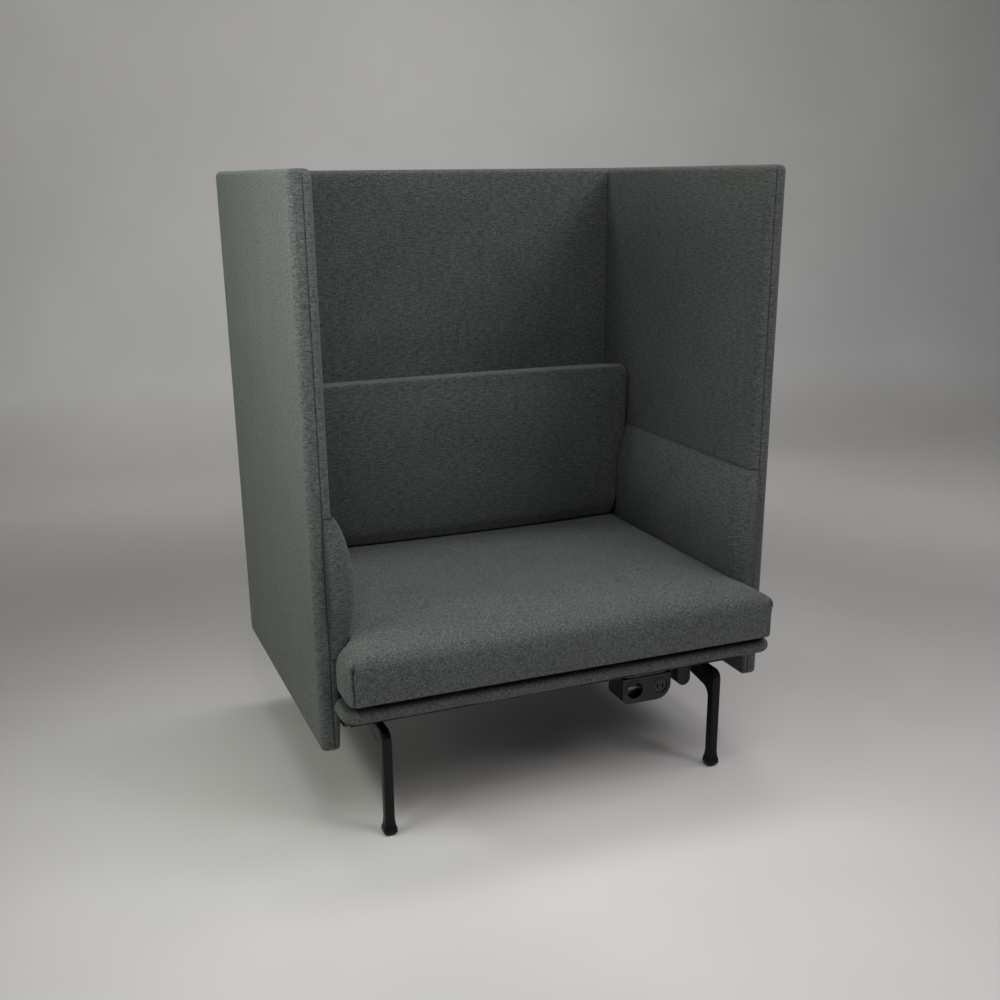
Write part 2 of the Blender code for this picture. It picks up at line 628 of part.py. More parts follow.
def make_channels(steel):
    """Add the side channels that space the panels off the rails, and the bolts in them."""
    bolt_start = DECK_HALF + DECK_SIDE_GAP - TOUCH - CHANNEL_WALL
    for side in (-1, 1):
        name = f"{side_name(side)}_channel"
        near = FRAME_HALF + TOUCH
        far = INNER_X - TOUCH
        top = DECK_BOTTOM - TOUCH
        outline = [(near, CHANNEL_LOW), (near + CHANNEL_WALL, CHANNEL_LOW),
                   (near + CHANNEL_WALL, top - CHANNEL_WALL), (far - CHANNEL_WALL, top - CHANNEL_WALL),
                   (far - CHANNEL_WALL, CHANNEL_LOW), (far, CHANNEL_LOW), (far, top), (near, top)]
        outline = [(side * x, z) for x, z in outline]
        shape = prism_shape(outline, PANEL_FRONT - CHANNEL_REACH, BACK_FACE - CHANNEL_BACK_GAP, "Y")
        channel = add_object(name, to_mesh(name, shape), steel)
        for label, y in panel_bolt_places():
            start, end = sorted((side * (far - CHANNEL_WALL * 1.5), side * (far + PANEL_EDGE)))
            bore(channel, f"bolt_{label}", (0, y, BOLT_HEIGHT), start, end, BOLT_RADIUS + BOLT_CLEARANCE, "X")
            add_bolt(f"panel_bolt_{side_name(side)}_{label}", (side * (bolt_start - TOUCH), y, BOLT_HEIGHT),
                     "X", side, INNER_X + BOARD_SIDE + BOLT_GRIP - bolt_start, steel)
    for label, x in back_bolt_places():
        add_bolt(f"back_bolt_{label}", (x, REAR_RAIL_FRONT - TOUCH, BOLT_HEIGHT), "Y", 1,
                 BACK_FACE + BOARD_SIDE + BOLT_GRIP - REAR_RAIL_FRONT, steel)


def add_bolt(name, seat, axis, way, grip, steel):
    """Add a bolt whose head bears on seat and whose shank runs way along the axis."""
    crown = BOLT_HEAD * 0.3
    profile = [(BOLT_HEAD_RADIUS - crown, -BOLT_HEAD), (BOLT_HEAD_RADIUS, crown - BOLT_HEAD),
               (BOLT_HEAD_RADIUS, 0), (BOLT_RADIUS, 0), (BOLT_RADIUS, grip - crown), (BOLT_RADIUS - crown, grip)]
    profile = [(radius, way * distance) for radius, distance in profile]
    shape = turned_shape(profile, seat, axis, 12)
    return add_object(name, to_mesh(name, shape), steel)


def make_dust_cover(cloth):
    """Add the thin cloth that closes the frame from below."""
    low = RAIL_BOTTOM + DUST_LIFT
    box("dust_cover", (-SIDE_RAIL_INNER + TOUCH, FRONT_RAIL_BACK + TOUCH, low),
        (SIDE_RAIL_INNER - TOUCH, REAR_RAIL_FRONT - TOUCH, low + DUST_THICK), cloth)


def leg_places():
    """Return each leg's name, position and turn: the arm runs inwards under the rails."""
    front = PANEL_FRONT - FRONT_LEG_REACH
    rear = PANEL_REAR - REAR_LEG_INSET
    return [("front_left", (-LEG_X, front), 0.0), ("front_right", (LEG_X, front), 0.0),
            ("rear_left", (-LEG_X, rear), math.pi), ("rear_right", (LEG_X, rear), math.pi)]


def leg_bolt_places():
    """Return the X and Y of every leg bolt."""
    offset = (FLANGE_START + ARM_LENGTH) / 2
    places = []
    for name, (x, y), turn in leg_places():
        way = 1 if turn == 0.0 else -1
        places += [(x - LEG_BOLT_X, y + way * offset), (x + LEG_BOLT_X, y + way * offset)]
    return places


def leg_mesh(iron):
    """Loft the cast leg: flared foot, square-shouldered shaft, knee and arm, with a flange on top.

    The leg stands at the origin with its arm along +Y. Every section runs from a
    point on the front and top contour to one on the rear and under contour.
    """
    flange_top = RAIL_BOTTOM - TOUCH
    flange_low = flange_top - FLANGE_THICK
    top = flange_low + TOUCH * 2
    under = flange_low - ARM_DROP
    sole = GLIDE_THICK + TOUCH
    sections = []

    def add(outer, inner, half_x):
        sections.append((Vector((0, *outer)), Vector((0, *inner)), half_x))

    for share, spread in ((0.0, 0.80), (0.10, 1.0), (0.28, 0.90), (0.55, 0.35), (1.0, 0.0)):
        z = sole + (FOOT_HEIGHT - sole) * share
        wide = FOOT_SPREAD * spread
        add((-LEG_HALF_Y - wide, z), (LEG_HALF_Y + wide, z), LEG_HALF_X + wide)
    outer_arc = corner_arc((-LEG_HALF_Y + KNEE_OUTER, top - KNEE_OUTER), KNEE_OUTER, 180, 90, 6)
    inner_arc = corner_arc((LEG_HALF_Y + KNEE_INNER, under - KNEE_INNER), KNEE_INNER, 180, 90, 6)
    low = (FOOT_HEIGHT + inner_arc[0][1]) / 2
    add((-LEG_HALF_Y, low), (LEG_HALF_Y, low), LEG_HALF_X)
    for outer, inner in zip(outer_arc, inner_arc):
        add(outer, inner, LEG_HALF_X)
    arm_start = inner_arc[-1][0]
    end_radius = KNEE_OUTER / 2
    for share in (0.35, 0.7, 1.0):
        y = arm_start + (ARM_LENGTH - end_radius - arm_start) * share
        add((y, top), (y, under + ARM_RISE * share), LEG_HALF_X)
    add((ARM_LENGTH - end_radius * 0.3, top), (ARM_LENGTH - end_radius * 0.3, under + ARM_RISE + end_radius * 0.4),
        LEG_HALF_X * 0.8)
    add((ARM_LENGTH, top - end_radius * 0.3), (ARM_LENGTH, under + ARM_RISE + end_radius), LEG_HALF_X * 0.5)

    sides = 16
    rings = []
    for outer, inner, half_x in sections:
        middle = (outer + inner) / 2
        arm = (inner - outer) / 2
        ring = []
        for index in range(sides):
            angle = 2 * math.pi * (index + 0.5) / sides
            across = math.copysign(abs(math.cos(angle)) ** 0.45, math.cos(angle))
            deep = math.copysign(abs(math.sin(angle)) ** 0.45, math.sin(angle))
            ring.append(middle + arm * deep + Vector((half_x * across, 0, 0)))
        rings.append(ring)
    leg = add_object("leg_casting", to_mesh("leg_casting", loft_shape(rings), 40), iron)
    plate = rounded_rectangle((-FLANGE_HALF_X, FLANGE_START), (FLANGE_HALF_X, ARM_LENGTH), FLANGE_CORNER)
    flange = cutter("leg_flange", prism_shape(plate, flange_low, flange_top, "Z"))
    combine(leg, flange, "UNION")
    extras = [flange]
    hole_y = (FLANGE_START + ARM_LENGTH) / 2
    for label, x in (("left", -LEG_BOLT_X), ("right", LEG_BOLT_X)):
        hole = rod(label, flange_low - PANEL_EDGE, flange_top + PANEL_EDGE, LEG_BOLT_RADIUS + BOLT_CLEARANCE, "Z", 12)
        extras.append(cutter(f"cut_flange_{label}", hole((x, hole_y, 0))))
        combine(leg, extras[-1])
    stem = rod("stem", 0, GLIDE_THICK + STEM_LENGTH + TOUCH, STEM_RADIUS + BOLT_CLEARANCE, "Z", 12)
    extras.append(cutter("cut_foot_stem", stem((0, 0, 0))))
    combine(leg, extras[-1])
    mesh = baked_mesh(leg, extras)
    mesh.name = "leg_casting"
    return mesh


def make_legs(iron, plastic, steel):
    """Place the four legs, their glides and the bolts that hold them to the side rails."""
    casting = leg_mesh(iron)
    edge = GLIDE_THICK * 0.3
    glide_profile = [(GLIDE_RADIUS - edge, 0), (GLIDE_RADIUS, edge), (GLIDE_RADIUS, GLIDE_THICK),
                     (STEM_RADIUS, GLIDE_THICK), (STEM_RADIUS, GLIDE_THICK + STEM_LENGTH - edge),
                     (STEM_RADIUS - edge / 2, GLIDE_THICK + STEM_LENGTH)]
    glide = to_mesh("leg_glide", turned_shape(glide_profile, (0, 0, 0), "Z", 20))
    for name, (x, y), turn in leg_places():
        add_object(f"leg_{name}", casting, iron, (x, y, 0), turn)
        add_object(f"glide_{name}", glide, plastic, (x, y, 0))
    head = LEG_BOLT_HEAD_HEIGHT
    bolt_profile = [(LEG_BOLT_HEAD * 0.6, -head), (LEG_BOLT_HEAD * 0.9, -head * 0.7), (LEG_BOLT_HEAD, -head * 0.3),
                    (LEG_BOLT_HEAD, 0), (LEG_BOLT_RADIUS, 0),
                    (LEG_BOLT_RADIUS, FLANGE_THICK + LEG_BOLT_GRIP - TOUCH)]
    bolt = to_mesh("leg_bolt", turned_shape(bolt_profile, (0, 0, 0), "Z", 12))
    seat = RAIL_BOTTOM - TOUCH - FLANGE_THICK - TOUCH
    names = [name for name, place, turn in leg_places() for repeat in (1, 2)]
    for index, ((x, y), name) in enumerate(zip(leg_bolt_places(), names)):
        add_object(f"leg_bolt_{name}_{index % 2 + 1}", bolt, steel, (x, y, seat))


def flare(y):
    """Return from 0 to 1 how far the seat has widened, where it comes out from the side panels."""
    share = min(1.0, max(0.0, (PANEL_FRONT + FLARE_START - y) / FLARE_LENGTH))
    return share * share * (3 - 2 * share)


def seat_crown(x, y):
    """Return how far the seat cushion's top rises above its rim at a place in plan."""
    across = min(1.0, abs(x) / (INNER_X - SEAT_SIDE_GAP))
    middle = (SEAT_FRONT + SEAT_REAR) / 2
    ahead = min(1.0, max(0.0, middle - y) / (middle - SEAT_FRONT))
    return SEAT_CROWN * (1 - across ** 2.6) * (1 - ahead ** 2.6)


def pad_bulge(height, inset=0.0):
    """Return an arm pad's thickness at a height between its seams."""
    middle = (PAD_TOP + PAD_BOTTOM) / 2
    share = min(1.0, abs(height - middle) / ((PAD_TOP - PAD_BOTTOM) / 2 - inset))
    return PAD_RIM + (PAD_BULGE - PAD_RIM) * (1 - share * share) ** 0.85


def make_seat_cushion(fabric):
    """Build the seat cushion: crowned top, flat underside, sides drawn in between the corners."""
    size = Vector((2 * (INNER_X - SEAT_SIDE_GAP), SEAT_REAR - SEAT_FRONT, SEAT_EDGE_HEIGHT))
    middle = Vector((0, (SEAT_FRONT + SEAT_REAR) / 2, SEAT_BOTTOM + SEAT_EDGE_HEIGHT / 2))

    def form(point, place):
        lift = (place.z + 1) / 2
        taut = place.z ** 2
        inward_x = SEAT_DRAW * taut * (1 - place.y ** 2) * place.x ** 5
        inward_x -= SEAT_FLARE * flare(point.y + middle.y) * (1 - place.z ** 2) * place.x ** 5
        inward_y = SEAT_DRAW * taut * (1 - place.x ** 2) * place.y ** 5
        spot = point + middle - Vector((inward_x, inward_y, 0))
        if PAD_BOTTOM < spot.z and spot.y > PANEL_FRONT - FLARE_START:
            room = INNER_X - pad_bulge(spot.z) - SEAT_PAD_GAP
            spot.x = min(max(spot.x, -room), room)
        spot.z += seat_crown(spot.x, spot.y) * lift ** 1.5
        return spot

    rolls = ((SEAT_LOW_ROLL, SEAT_LOW_ROLL, SEAT_LOW_ROLL), (SEAT_SIDE_ROLL, SEAT_FRONT_ROLL, SEAT_ROLL_HEIGHT))
    flat = size.y / 2 - SEAT_CORNER
    widening = [(PANEL_FRONT + FLARE_START - FLARE_LENGTH * step / 3 - middle.y) / flat for step in range(4)]
    deep = sorted([share for share in even(10) if abs(share - widening[1]) > 0.08] + widening)
    shape = soft_block(size, SEAT_CORNER, rolls, (even(12), deep), form)
    add_object("seat_cushion", to_mesh("seat_cushion", shape, 60), fabric)


def make_back_cushion(fabric):
    """Build the back cushion: swelled front, drawn in below where the arm pads press on its ends."""
    size = Vector((2 * (INNER_X - BACK_SIDE_GAP), BACK_HEIGHT, BACK_THICK))
    rear = BACK_FACE - TOUCH
    base = SEAT_BOTTOM + SEAT_EDGE_HEIGHT + SEAT_CROWN + BACK_SEAT_GAP
    pad_middle = (PAD_TOP + PAD_BOTTOM) / 2

    def form(point, place):
        front = (place.z + 1) / 2
        upright = 1 - (1 - BACK_LOW_CROWN) * abs(place.y) ** 2.6
        swell = BACK_CROWN * (1 - abs(place.x) ** 2.6) * upright * front ** 1.5
        spot = Vector((point.x, rear - (point.z + size.z / 2) - swell, base + point.y + size.y / 2))
        share = (place.y + 1) / 2
        spot.z += BACK_RISE * (1 - place.x ** 2) * share ** 4
        press = pad_bulge(max(spot.z, pad_middle))
        if spot.z > PAD_TOP:
            press = PAD_RIM * max(0.0, 1 - (spot.z - PAD_TOP) / BACK_EASE)
        spot.x -= place.x * press
        return spot

    rolls = ((BACK_REAR_ROLL, BACK_REAR_ROLL, BACK_REAR_ROLL), (BACK_FRONT_ROLL, BACK_FRONT_ROLL, BACK_FRONT_ROLL))
    shape = soft_block(size, BACK_CORNER, rolls, (even(12), even(8)), form)
    add_object("back_cushion", to_mesh("back_cushion", shape, 60), fabric)


def power_outline(inset=0.0):
    """Return the power unit's outline: square top corners, unlike round corners below."""
    left = POWER_X - POWER_WIDTH / 2 + inset
    right = POWER_X + POWER_WIDTH / 2 - inset
    low = POWER_LOW + inset
    top = POWER_TOP - inset
    small = POWER_LEFT_RADIUS - inset
    large = POWER_RIGHT_RADIUS - inset
    points = [(right, top), (left, top)]
    points += corner_arc((left + small, low + small), small, 180, 270, 5)
    points += corner_arc((right - large, low + large), large, 270, 360, 7)
    return points


def make_power_unit(plastic, dark, metal):
    """Build the power unit: hanger plate, housing, bezel, mains socket, charger and inlet."""
    rear = POWER_FRONT + POWER_DEPTH
    face = POWER_FRONT - BEZEL_THICK - TOUCH
    socket_x = POWER_X + SOCKET_X
    charger_x = POWER_X + CHARGER_X
    height = POWER_LOW + FACE_Z
    edge = PANEL_EDGE

    box("power_hanger", (POWER_X - POWER_WIDTH / 2 + edge, PANEL_FRONT + TOUCH, POWER_TOP + TOUCH),
        (POWER_X + POWER_WIDTH / 2 - edge, rear - TOUCH, POWER_TOP + TOUCH + PLATE_THICK), metal)
    housing = add_object("power_housing", to_mesh("power_housing", prism_shape(power_outline(), POWER_FRONT, rear, "Y")),
                         plastic)
    bezel_shape = prism_shape(power_outline(TOUCH), face, POWER_FRONT - TOUCH, "Y")
    bezel = add_object("power_bezel", to_mesh("power_bezel", bezel_shape), plastic)
    socket_rear = face - SOCKET_PROUD + SOCKET_DEPTH + SOCKET_FLOOR
    charger_rear = face + CHARGER_DEPTH
    for piece in (housing, bezel):
        bore(piece, "socket", (socket_x, 0, height), face - edge, socket_rear + TOUCH, SOCKET_OUTER + TOUCH, "Y", 28)
        bore(piece, "charger", (charger_x, 0, height), face - edge, charger_rear + TOUCH, CHARGER_OUTER + TOUCH, "Y", 24)

    start = face - SOCKET_PROUD
    cup = [(SOCKET_OUTER, 0), (SOCKET_OUTER, SOCKET_DEPTH + SOCKET_FLOOR)]
    socket = add_object("socket_insert", to_mesh("socket_insert", turned_shape(cup, (socket_x, start, height), "Y", 28)),
                        dark)
    bore(socket, "well", (socket_x, 0, height), start - edge, start + SOCKET_DEPTH, SOCKET_WELL, "Y", 28)
    for label, way in (("low", -1), ("high", 1)):
        bore(socket, f"pin_{label}", (socket_x, 0, height + way * PIN_OFFSET), start, socket_rear + edge,
             PIN_RADIUS, "Y", 10)

    floor = start + SOCKET_DEPTH - TOUCH
    reach = SOCKET_WELL * math.cos(math.asin(CLIP_WIDTH / 2 / SOCKET_WELL)) * math.cos(math.pi / 28) - TOUCH
    clip = [(-reach, -CLIP_LENGTH), (-reach + CLIP_THICK, -CLIP_LENGTH), (-reach + CLIP_THICK, -CLIP_THICK),
            (reach - CLIP_THICK, -CLIP_THICK), (reach - CLIP_THICK, -CLIP_LENGTH), (reach, -CLIP_LENGTH),
            (reach, 0), (-reach, 0)]
    clip = [(socket_x + x, floor + y) for x, y in clip]
    shape = prism_shape(clip, height - CLIP_WIDTH / 2, height + CLIP_WIDTH / 2, "Z")
    add_object("earth_contact", to_mesh("earth_contact", shape), metal)

    disc = [(CHARGER_OUTER, 0), (CHARGER_OUTER, CHARGER_DEPTH)]
    charger = add_object("charger_module", to_mesh("charger_module",
                         turned_shape(disc, (charger_x, face, height), "Y", 24)), dark)
    bore(charger, "dish", (charger_x, 0, height), face - edge, face + CHARGER_DISH, CHARGER_OUTER - CHARGER_DISH,
         "Y", 24)
    for label, way in (("left", -1), ("right", 1)):
        x = charger_x + way * PORT_SPACING / 2
        port = box_shape((x - PORT_WIDTH / 2, face - edge, height - PORT_HEIGHT / 2),
                         (x + PORT_WIDTH / 2, face + CHARGER_DISH + PORT_DEPTH, height + PORT_HEIGHT / 2))
        combine(charger, cutter(f"cut_port_{label}", port))

    make_inlet(plastic)


def make_inlet(plastic):
    """Build the mains inlet beside the power unit, with its neck and its socket at the rear."""
    top = RAIL_BOTTOM - TOUCH
    low = top - INLET_DROP
    radius = INLET_WIDTH / 2 - TOUCH
    front = PANEL_FRONT + INLET_START
    rear = front + INLET_DEPTH
    outline = [(INLET_X + INLET_WIDTH / 2, top), (INLET_X - INLET_WIDTH / 2, top)]
    outline += corner_arc((INLET_X, low + radius), INLET_WIDTH / 2, 180, 360, 10)
    inlet = add_object("power_inlet", to_mesh("power_inlet", prism_shape(outline, front, rear, "Y")), plastic)
    neck_z = POWER_TOP - NECK_RADIUS * 1.5
    start = POWER_X + POWER_WIDTH / 2 + TOUCH
    neck = rod("neck", start, INLET_X, NECK_RADIUS, "X", 14)((0, (front + rear) / 2, neck_z))
    combine(inlet, cutter("join_inlet_neck", neck), "UNION")
    well_z = low + INLET_WIDTH / 2 + INLET_WELL_HEIGHT / 2
    well = box_shape((INLET_X - INLET_WELL_WIDTH / 2, rear - INLET_WELL_DEPTH, well_z - INLET_WELL_HEIGHT / 2),
                     (INLET_X + INLET_WELL_WIDTH / 2, rear + PANEL_EDGE, well_z + INLET_WELL_HEIGHT / 2))
    combine(inlet, cutter("cut_inlet_well", well))


def main():
    """Clear the file and build the chair."""
    for item in list(bpy.data.objects):
        bpy.data.objects.remove(item, do_unlink=True)
    fabric = material("wool_fabric", (0.070, 0.080, 0.074), 0.95)
    plywood = material("birch_plywood", (0.56, 0.42, 0.26), 0.60)
    timber = material("pine_timber", (0.60, 0.44, 0.25), 0.65)
    steel = material("zinc_steel", (0.55, 0.56, 0.57), 0.35, 1.0)
    black_steel = material("black_steel", (0.015, 0.015, 0.016), 0.45, 0.3)
    iron = material("cast_leg_black", (0.012, 0.012, 0.013), 0.42, 0.3)
    plastic = material("black_plastic", (0.018, 0.018, 0.020), 0.50)
    dark = material("socket_plastic", (0.010, 0.010, 0.011), 0.38)
    contact = material("nickel_contact", (0.72, 0.70, 0.66), 0.25, 1.0)
    dust = material("dust_cloth", (0.020, 0.020, 0.021), 0.95)

    for side in (-1, 1):
        make_side_panel(side, fabric, plywood)
        make_arm_pad(side, fabric)
    make_back_panel(fabric, plywood)
    make_corner_studs(steel)
    make_deck(fabric)
    make_rails(timber, plywood)
    make_springs(steel)
    make_channels(black_steel)
    make_dust_cover(dust)
    make_legs(iron, plastic, steel)
    make_seat_cushion(fabric)
    make_back_cushion(fabric)
    make_power_unit(plastic, dark, contact)


main()
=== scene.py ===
"""High back lounge chair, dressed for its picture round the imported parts.

Units are metres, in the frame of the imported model: +X is towards the right of a
front view, +Y runs to the rear and +Z is up, with the origin on the floor. Every
upholstered part is built here as its own fabric form, and the rigid parts keep
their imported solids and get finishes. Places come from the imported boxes.
"""
import json
import logging
import math
from dataclasses import dataclass, field
from enum import Enum
from typing import Any, Callable, Sequence

import bmesh
import bpy
import numpy as np
from mathutils import Matrix, Vector


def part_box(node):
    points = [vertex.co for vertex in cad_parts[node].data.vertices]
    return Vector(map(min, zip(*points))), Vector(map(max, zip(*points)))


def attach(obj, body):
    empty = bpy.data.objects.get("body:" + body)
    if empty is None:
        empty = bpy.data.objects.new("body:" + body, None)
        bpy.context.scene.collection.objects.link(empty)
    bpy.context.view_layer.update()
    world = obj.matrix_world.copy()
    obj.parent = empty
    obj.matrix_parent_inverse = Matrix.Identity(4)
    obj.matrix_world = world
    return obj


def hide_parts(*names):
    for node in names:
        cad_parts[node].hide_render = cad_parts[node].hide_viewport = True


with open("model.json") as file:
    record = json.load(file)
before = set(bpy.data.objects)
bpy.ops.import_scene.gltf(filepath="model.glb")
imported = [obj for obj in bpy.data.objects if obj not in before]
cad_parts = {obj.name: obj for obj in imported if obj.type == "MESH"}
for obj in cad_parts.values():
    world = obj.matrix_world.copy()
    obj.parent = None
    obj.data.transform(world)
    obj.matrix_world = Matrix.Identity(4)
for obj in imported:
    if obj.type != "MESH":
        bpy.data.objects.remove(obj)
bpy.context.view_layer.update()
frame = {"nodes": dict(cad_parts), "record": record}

LOG = logging.getLogger("lounge_chair")

Triple = tuple[float, float, float]
Colour = Triple
Shape = Callable[[np.ndarray, np.ndarray], np.ndarray]

CLOTH_SETTINGS = {"quality": 4, "mass": 0.25, "tension_stiffness": 14, "compression_stiffness": 14,
                  "shear_stiffness": 6, "bending_stiffness": 0.5, "use_pressure": True}
CLOTH_STEPS = 20
FILLING_PRESSURE = 4.0
EDGE_HOLD_REACH = 0.055
SEAM_SHARPNESS = 2.2
SEAM_SHADE_SHARPNESS = 2.4
STITCH_LENGTH = 0.009
CROWN_POWER = 2.6


class Body(Enum):
    """The chair's bodies: what is bolted together, and the two loose cushions."""

    CHAIR = "chair"
    SEAT = "seat_cushion"
    BACK = "back_cushion"


class Slot(Enum):
    """The record's material slots."""

    WOOL = "wool_fabric"
    PLYWOOD = "birch_plywood"
    PINE = "pine_timber"
    ZINC = "zinc_steel"
    BLACK_STEEL = "black_steel"
    CAST_BLACK = "cast_leg_black"
    PLASTIC = "black_plastic"
    GLOSS_PLASTIC = "socket_plastic"
    NICKEL = "nickel_contact"
    DUST_CLOTH = "dust_cloth"


class Side(Enum):
    """The chair's sides, as seen from the front of it."""

    LEFT = -1
    RIGHT = 1

    @property
    def label(self) -> str:
        """Return the side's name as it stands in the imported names."""
        return self.name.lower()


class Signal:
    """An output socket of a shader node that can be used in arithmetic."""

    def __init__(self, board: "Board", socket: bpy.types.NodeSocket) -> None:
        """Wrap a socket.

        Args:
            board: The board that the socket's node stands on.
            socket: The output socket.
        """
        self.board = board
        self.socket = socket

    def maths(self, operation: str, *others: "Signal | float") -> "Signal":
        """Return the result of a Math node.

        Args:
            operation: The Math node's operation.
            others: Its second and third operands.

        Returns:
            The node's output.
        """
        return self.board.maths(operation, self, *others)

    def __add__(self, other: "Signal | float") -> "Signal":
        """Return the sum."""
        return self.maths("ADD", other)

    def __radd__(self, other: float) -> "Signal":
        """Return the sum."""
        return self.maths("ADD", other)

    def __sub__(self, other: "Signal | float") -> "Signal":
        """Return the difference."""
        return self.maths("SUBTRACT", other)

    def __rsub__(self, other: float) -> "Signal":
        """Return a number minus this."""
        return self.board.maths("SUBTRACT", other, self)

    def __mul__(self, other: "Signal | float") -> "Signal":
        """Return the product."""
        return self.maths("MULTIPLY", other)

    def __rmul__(self, other: float) -> "Signal":
        """Return the product."""
        return self.maths("MULTIPLY", other)

    def __truediv__(self, other: "Signal | float") -> "Signal":
        """Return the quotient."""
        return self.maths("DIVIDE", other)

    def __gt__(self, other: "Signal | float") -> "Signal":
        """Return 1 where this is greater, else 0."""
        return self.maths("GREATER_THAN", other)


class Made:
    """A shader node, whose outputs are read as signals by name or number."""

    def __init__(self, board: "Board", node: bpy.types.Node) -> None:
        """Wrap a node.

        Args:
            board: The board that the node stands on.
            node: The node.
        """
        self.board = board
        self.node = node

    def __getitem__(self, key: str | int) -> Signal:
        """Return one of the node's outputs."""
        return Signal(self.board, self.node.outputs[key])


class Board:
    """A material's node tree while its finish is put together."""

    def __init__(self, name: str, preview: Colour) -> None:
        """Make a material with an empty tree.

        Args:
            name: The material's name.
            preview: Its plain colour in a viewport.
        """
        self.material = bpy.data.materials.new(name)
        self.material.use_nodes = True
        self.material.diffuse_color = (*preview, 1.0)
        self.tree = self.material.node_tree
        self.tree.nodes.clear()

    def node(self, kind: str, settings: dict[str, Any] | None = None,
             inputs: dict[str | int, Any] | None = None) -> Made:
        """Add any node.

        Args:
            kind: The node's type.
            settings: Its properties. A colour ramp's stops are pairs of place and colour.
            inputs: Values or signals for its input sockets, by name or number.

        Returns:
            The node, wrapped.
        """
        node = self.tree.nodes.new(kind)
        for key, value in (settings or {}).items():
            if key == "stops":
                self._set_stops(node, value)
            else:
                setattr(node, key, value)
        for key, value in (inputs or {}).items():
            if isinstance(value, Signal):
                self.tree.links.new(value.socket, node.inputs[key])
            else:
                node.inputs[key].default_value = value
        return Made(self, node)

    @staticmethod
    def _set_stops(node: bpy.types.Node, stops: Sequence[tuple[float, Colour]]) -> None:
        """Give a colour ramp its stops."""
        elements = node.color_ramp.elements
        while len(elements) < len(stops):
            elements.new(0.5)
        for element, (place, colour) in zip(elements, stops):
            element.position = place
            element.color = (*colour, 1.0)

    def maths(self, operation: str, *operands: Signal | float) -> Signal:
        """Add a Math node.

        Args:
            operation: The operation.
            operands: Its one, two or three operands.

        Returns:
            The result.
        """
        return self.node("ShaderNodeMath", {"operation": operation}, dict(enumerate(operands)))[0]

    def noise(self, place: Signal, scale: float, detail: float, roughness: float = 0.5) -> Signal:
        """Add a noise texture.

        Args:
            place: The coordinates, in metres.
            scale: Features to the metre.
            detail: The number of finer octaves.
            roughness: How strong those are.

        Returns:
            Its value, from 0 to 1.
        """
        return self.node("ShaderNodeTexNoise", {"noise_dimensions": "3D"},
                         {"Vector": place, "Scale": scale, "Detail": detail,
                          "Roughness": roughness})["Fac"]

    def ramp(self, value: Signal, low: float, high: float,
             start: float = 0.0, end: float = 1.0) -> Signal:
        """Ease a value from one range into another.

        Args:
            value: The value.
            low: Where the ramp starts.
            high: Where it ends.
            start: The result at low.
            end: The result at high.

        Returns:
            The eased value.
        """
        return self.node("ShaderNodeMapRange", {"interpolation_type": "SMOOTHSTEP"},
                         {0: value, 1: low, 2: high, 3: start, 4: end})["Result"]

    def mix(self, share: Signal | float, first: Signal | Colour, second: Signal | Colour) -> Signal:
        """Mix two colours.

        Args:
            share: How much of the second, from 0 to 1.
            first: The first colour.
            second: The second colour.

        Returns:
            The mixed colour.
        """
        first, second = [item if isinstance(item, Signal) else (*item, 1.0)
                         for item in (first, second)]
        return self.node("ShaderNodeMix", {"data_type": "RGBA"}, {0: share, 6: first, 7: second})[2]

    def scaled(self, vector: Signal, share: Signal | float) -> Signal:
        """Scale a colour or a vector.

        Args:
            vector: The colour or vector.
            share: What it is multiplied by.

        Returns:
            The scaled colour or vector.
        """
        return self.node("ShaderNodeVectorMath", {"operation": "SCALE"},
                         {0: vector, "Scale": share})[0]

    def place(self) -> Signal:
        """Return where a point lies on its piece, in metres."""
        return self.node("ShaderNodeTexCoord")["Object"]

    def axes(self, vector: Signal) -> Made:
        """Return a node that holds a vector's X, Y and Z."""
        return self.node("ShaderNodeSeparateXYZ", None, {0: vector})

    def painted(self, attribute: str) -> Signal:
        """Return a value that is stored at the points of the mesh."""
        return self.node("ShaderNodeAttribute", {"attribute_name": attribute})["Fac"]

    def stretched(self, place: Signal, scale: Triple) -> Signal:
        """Return coordinates multiplied along each axis."""
        return self.node("ShaderNodeVectorMath", {"operation": "MULTIPLY"}, {0: place, 1: scale})[0]

    def bump(self, height: Signal, distance: float, strength: float) -> Signal:
        """Return the normal of a bumped surface.

        Args:
            height: The height, from 0 to 1.
            distance: The height that 1 stands for, in metres.
            strength: How strongly it shows.

        Returns:
            The normal.
        """
        return self.node("ShaderNodeBump", None,
                         {"Strength": strength, "Distance": distance, "Height": height})["Normal"]

    def principled(self, inputs: dict[str, Any]) -> bpy.types.Material:
        """Finish the tree with a Principled shader.

        Args:
            inputs: Values or signals for the shader's sockets.

        Returns:
            The finished material.
        """
        shader = self.node("ShaderNodeBsdfPrincipled", None, inputs)
        self.node("ShaderNodeOutputMaterial", None, {"Surface": shader["BSDF"]})
        return self.material


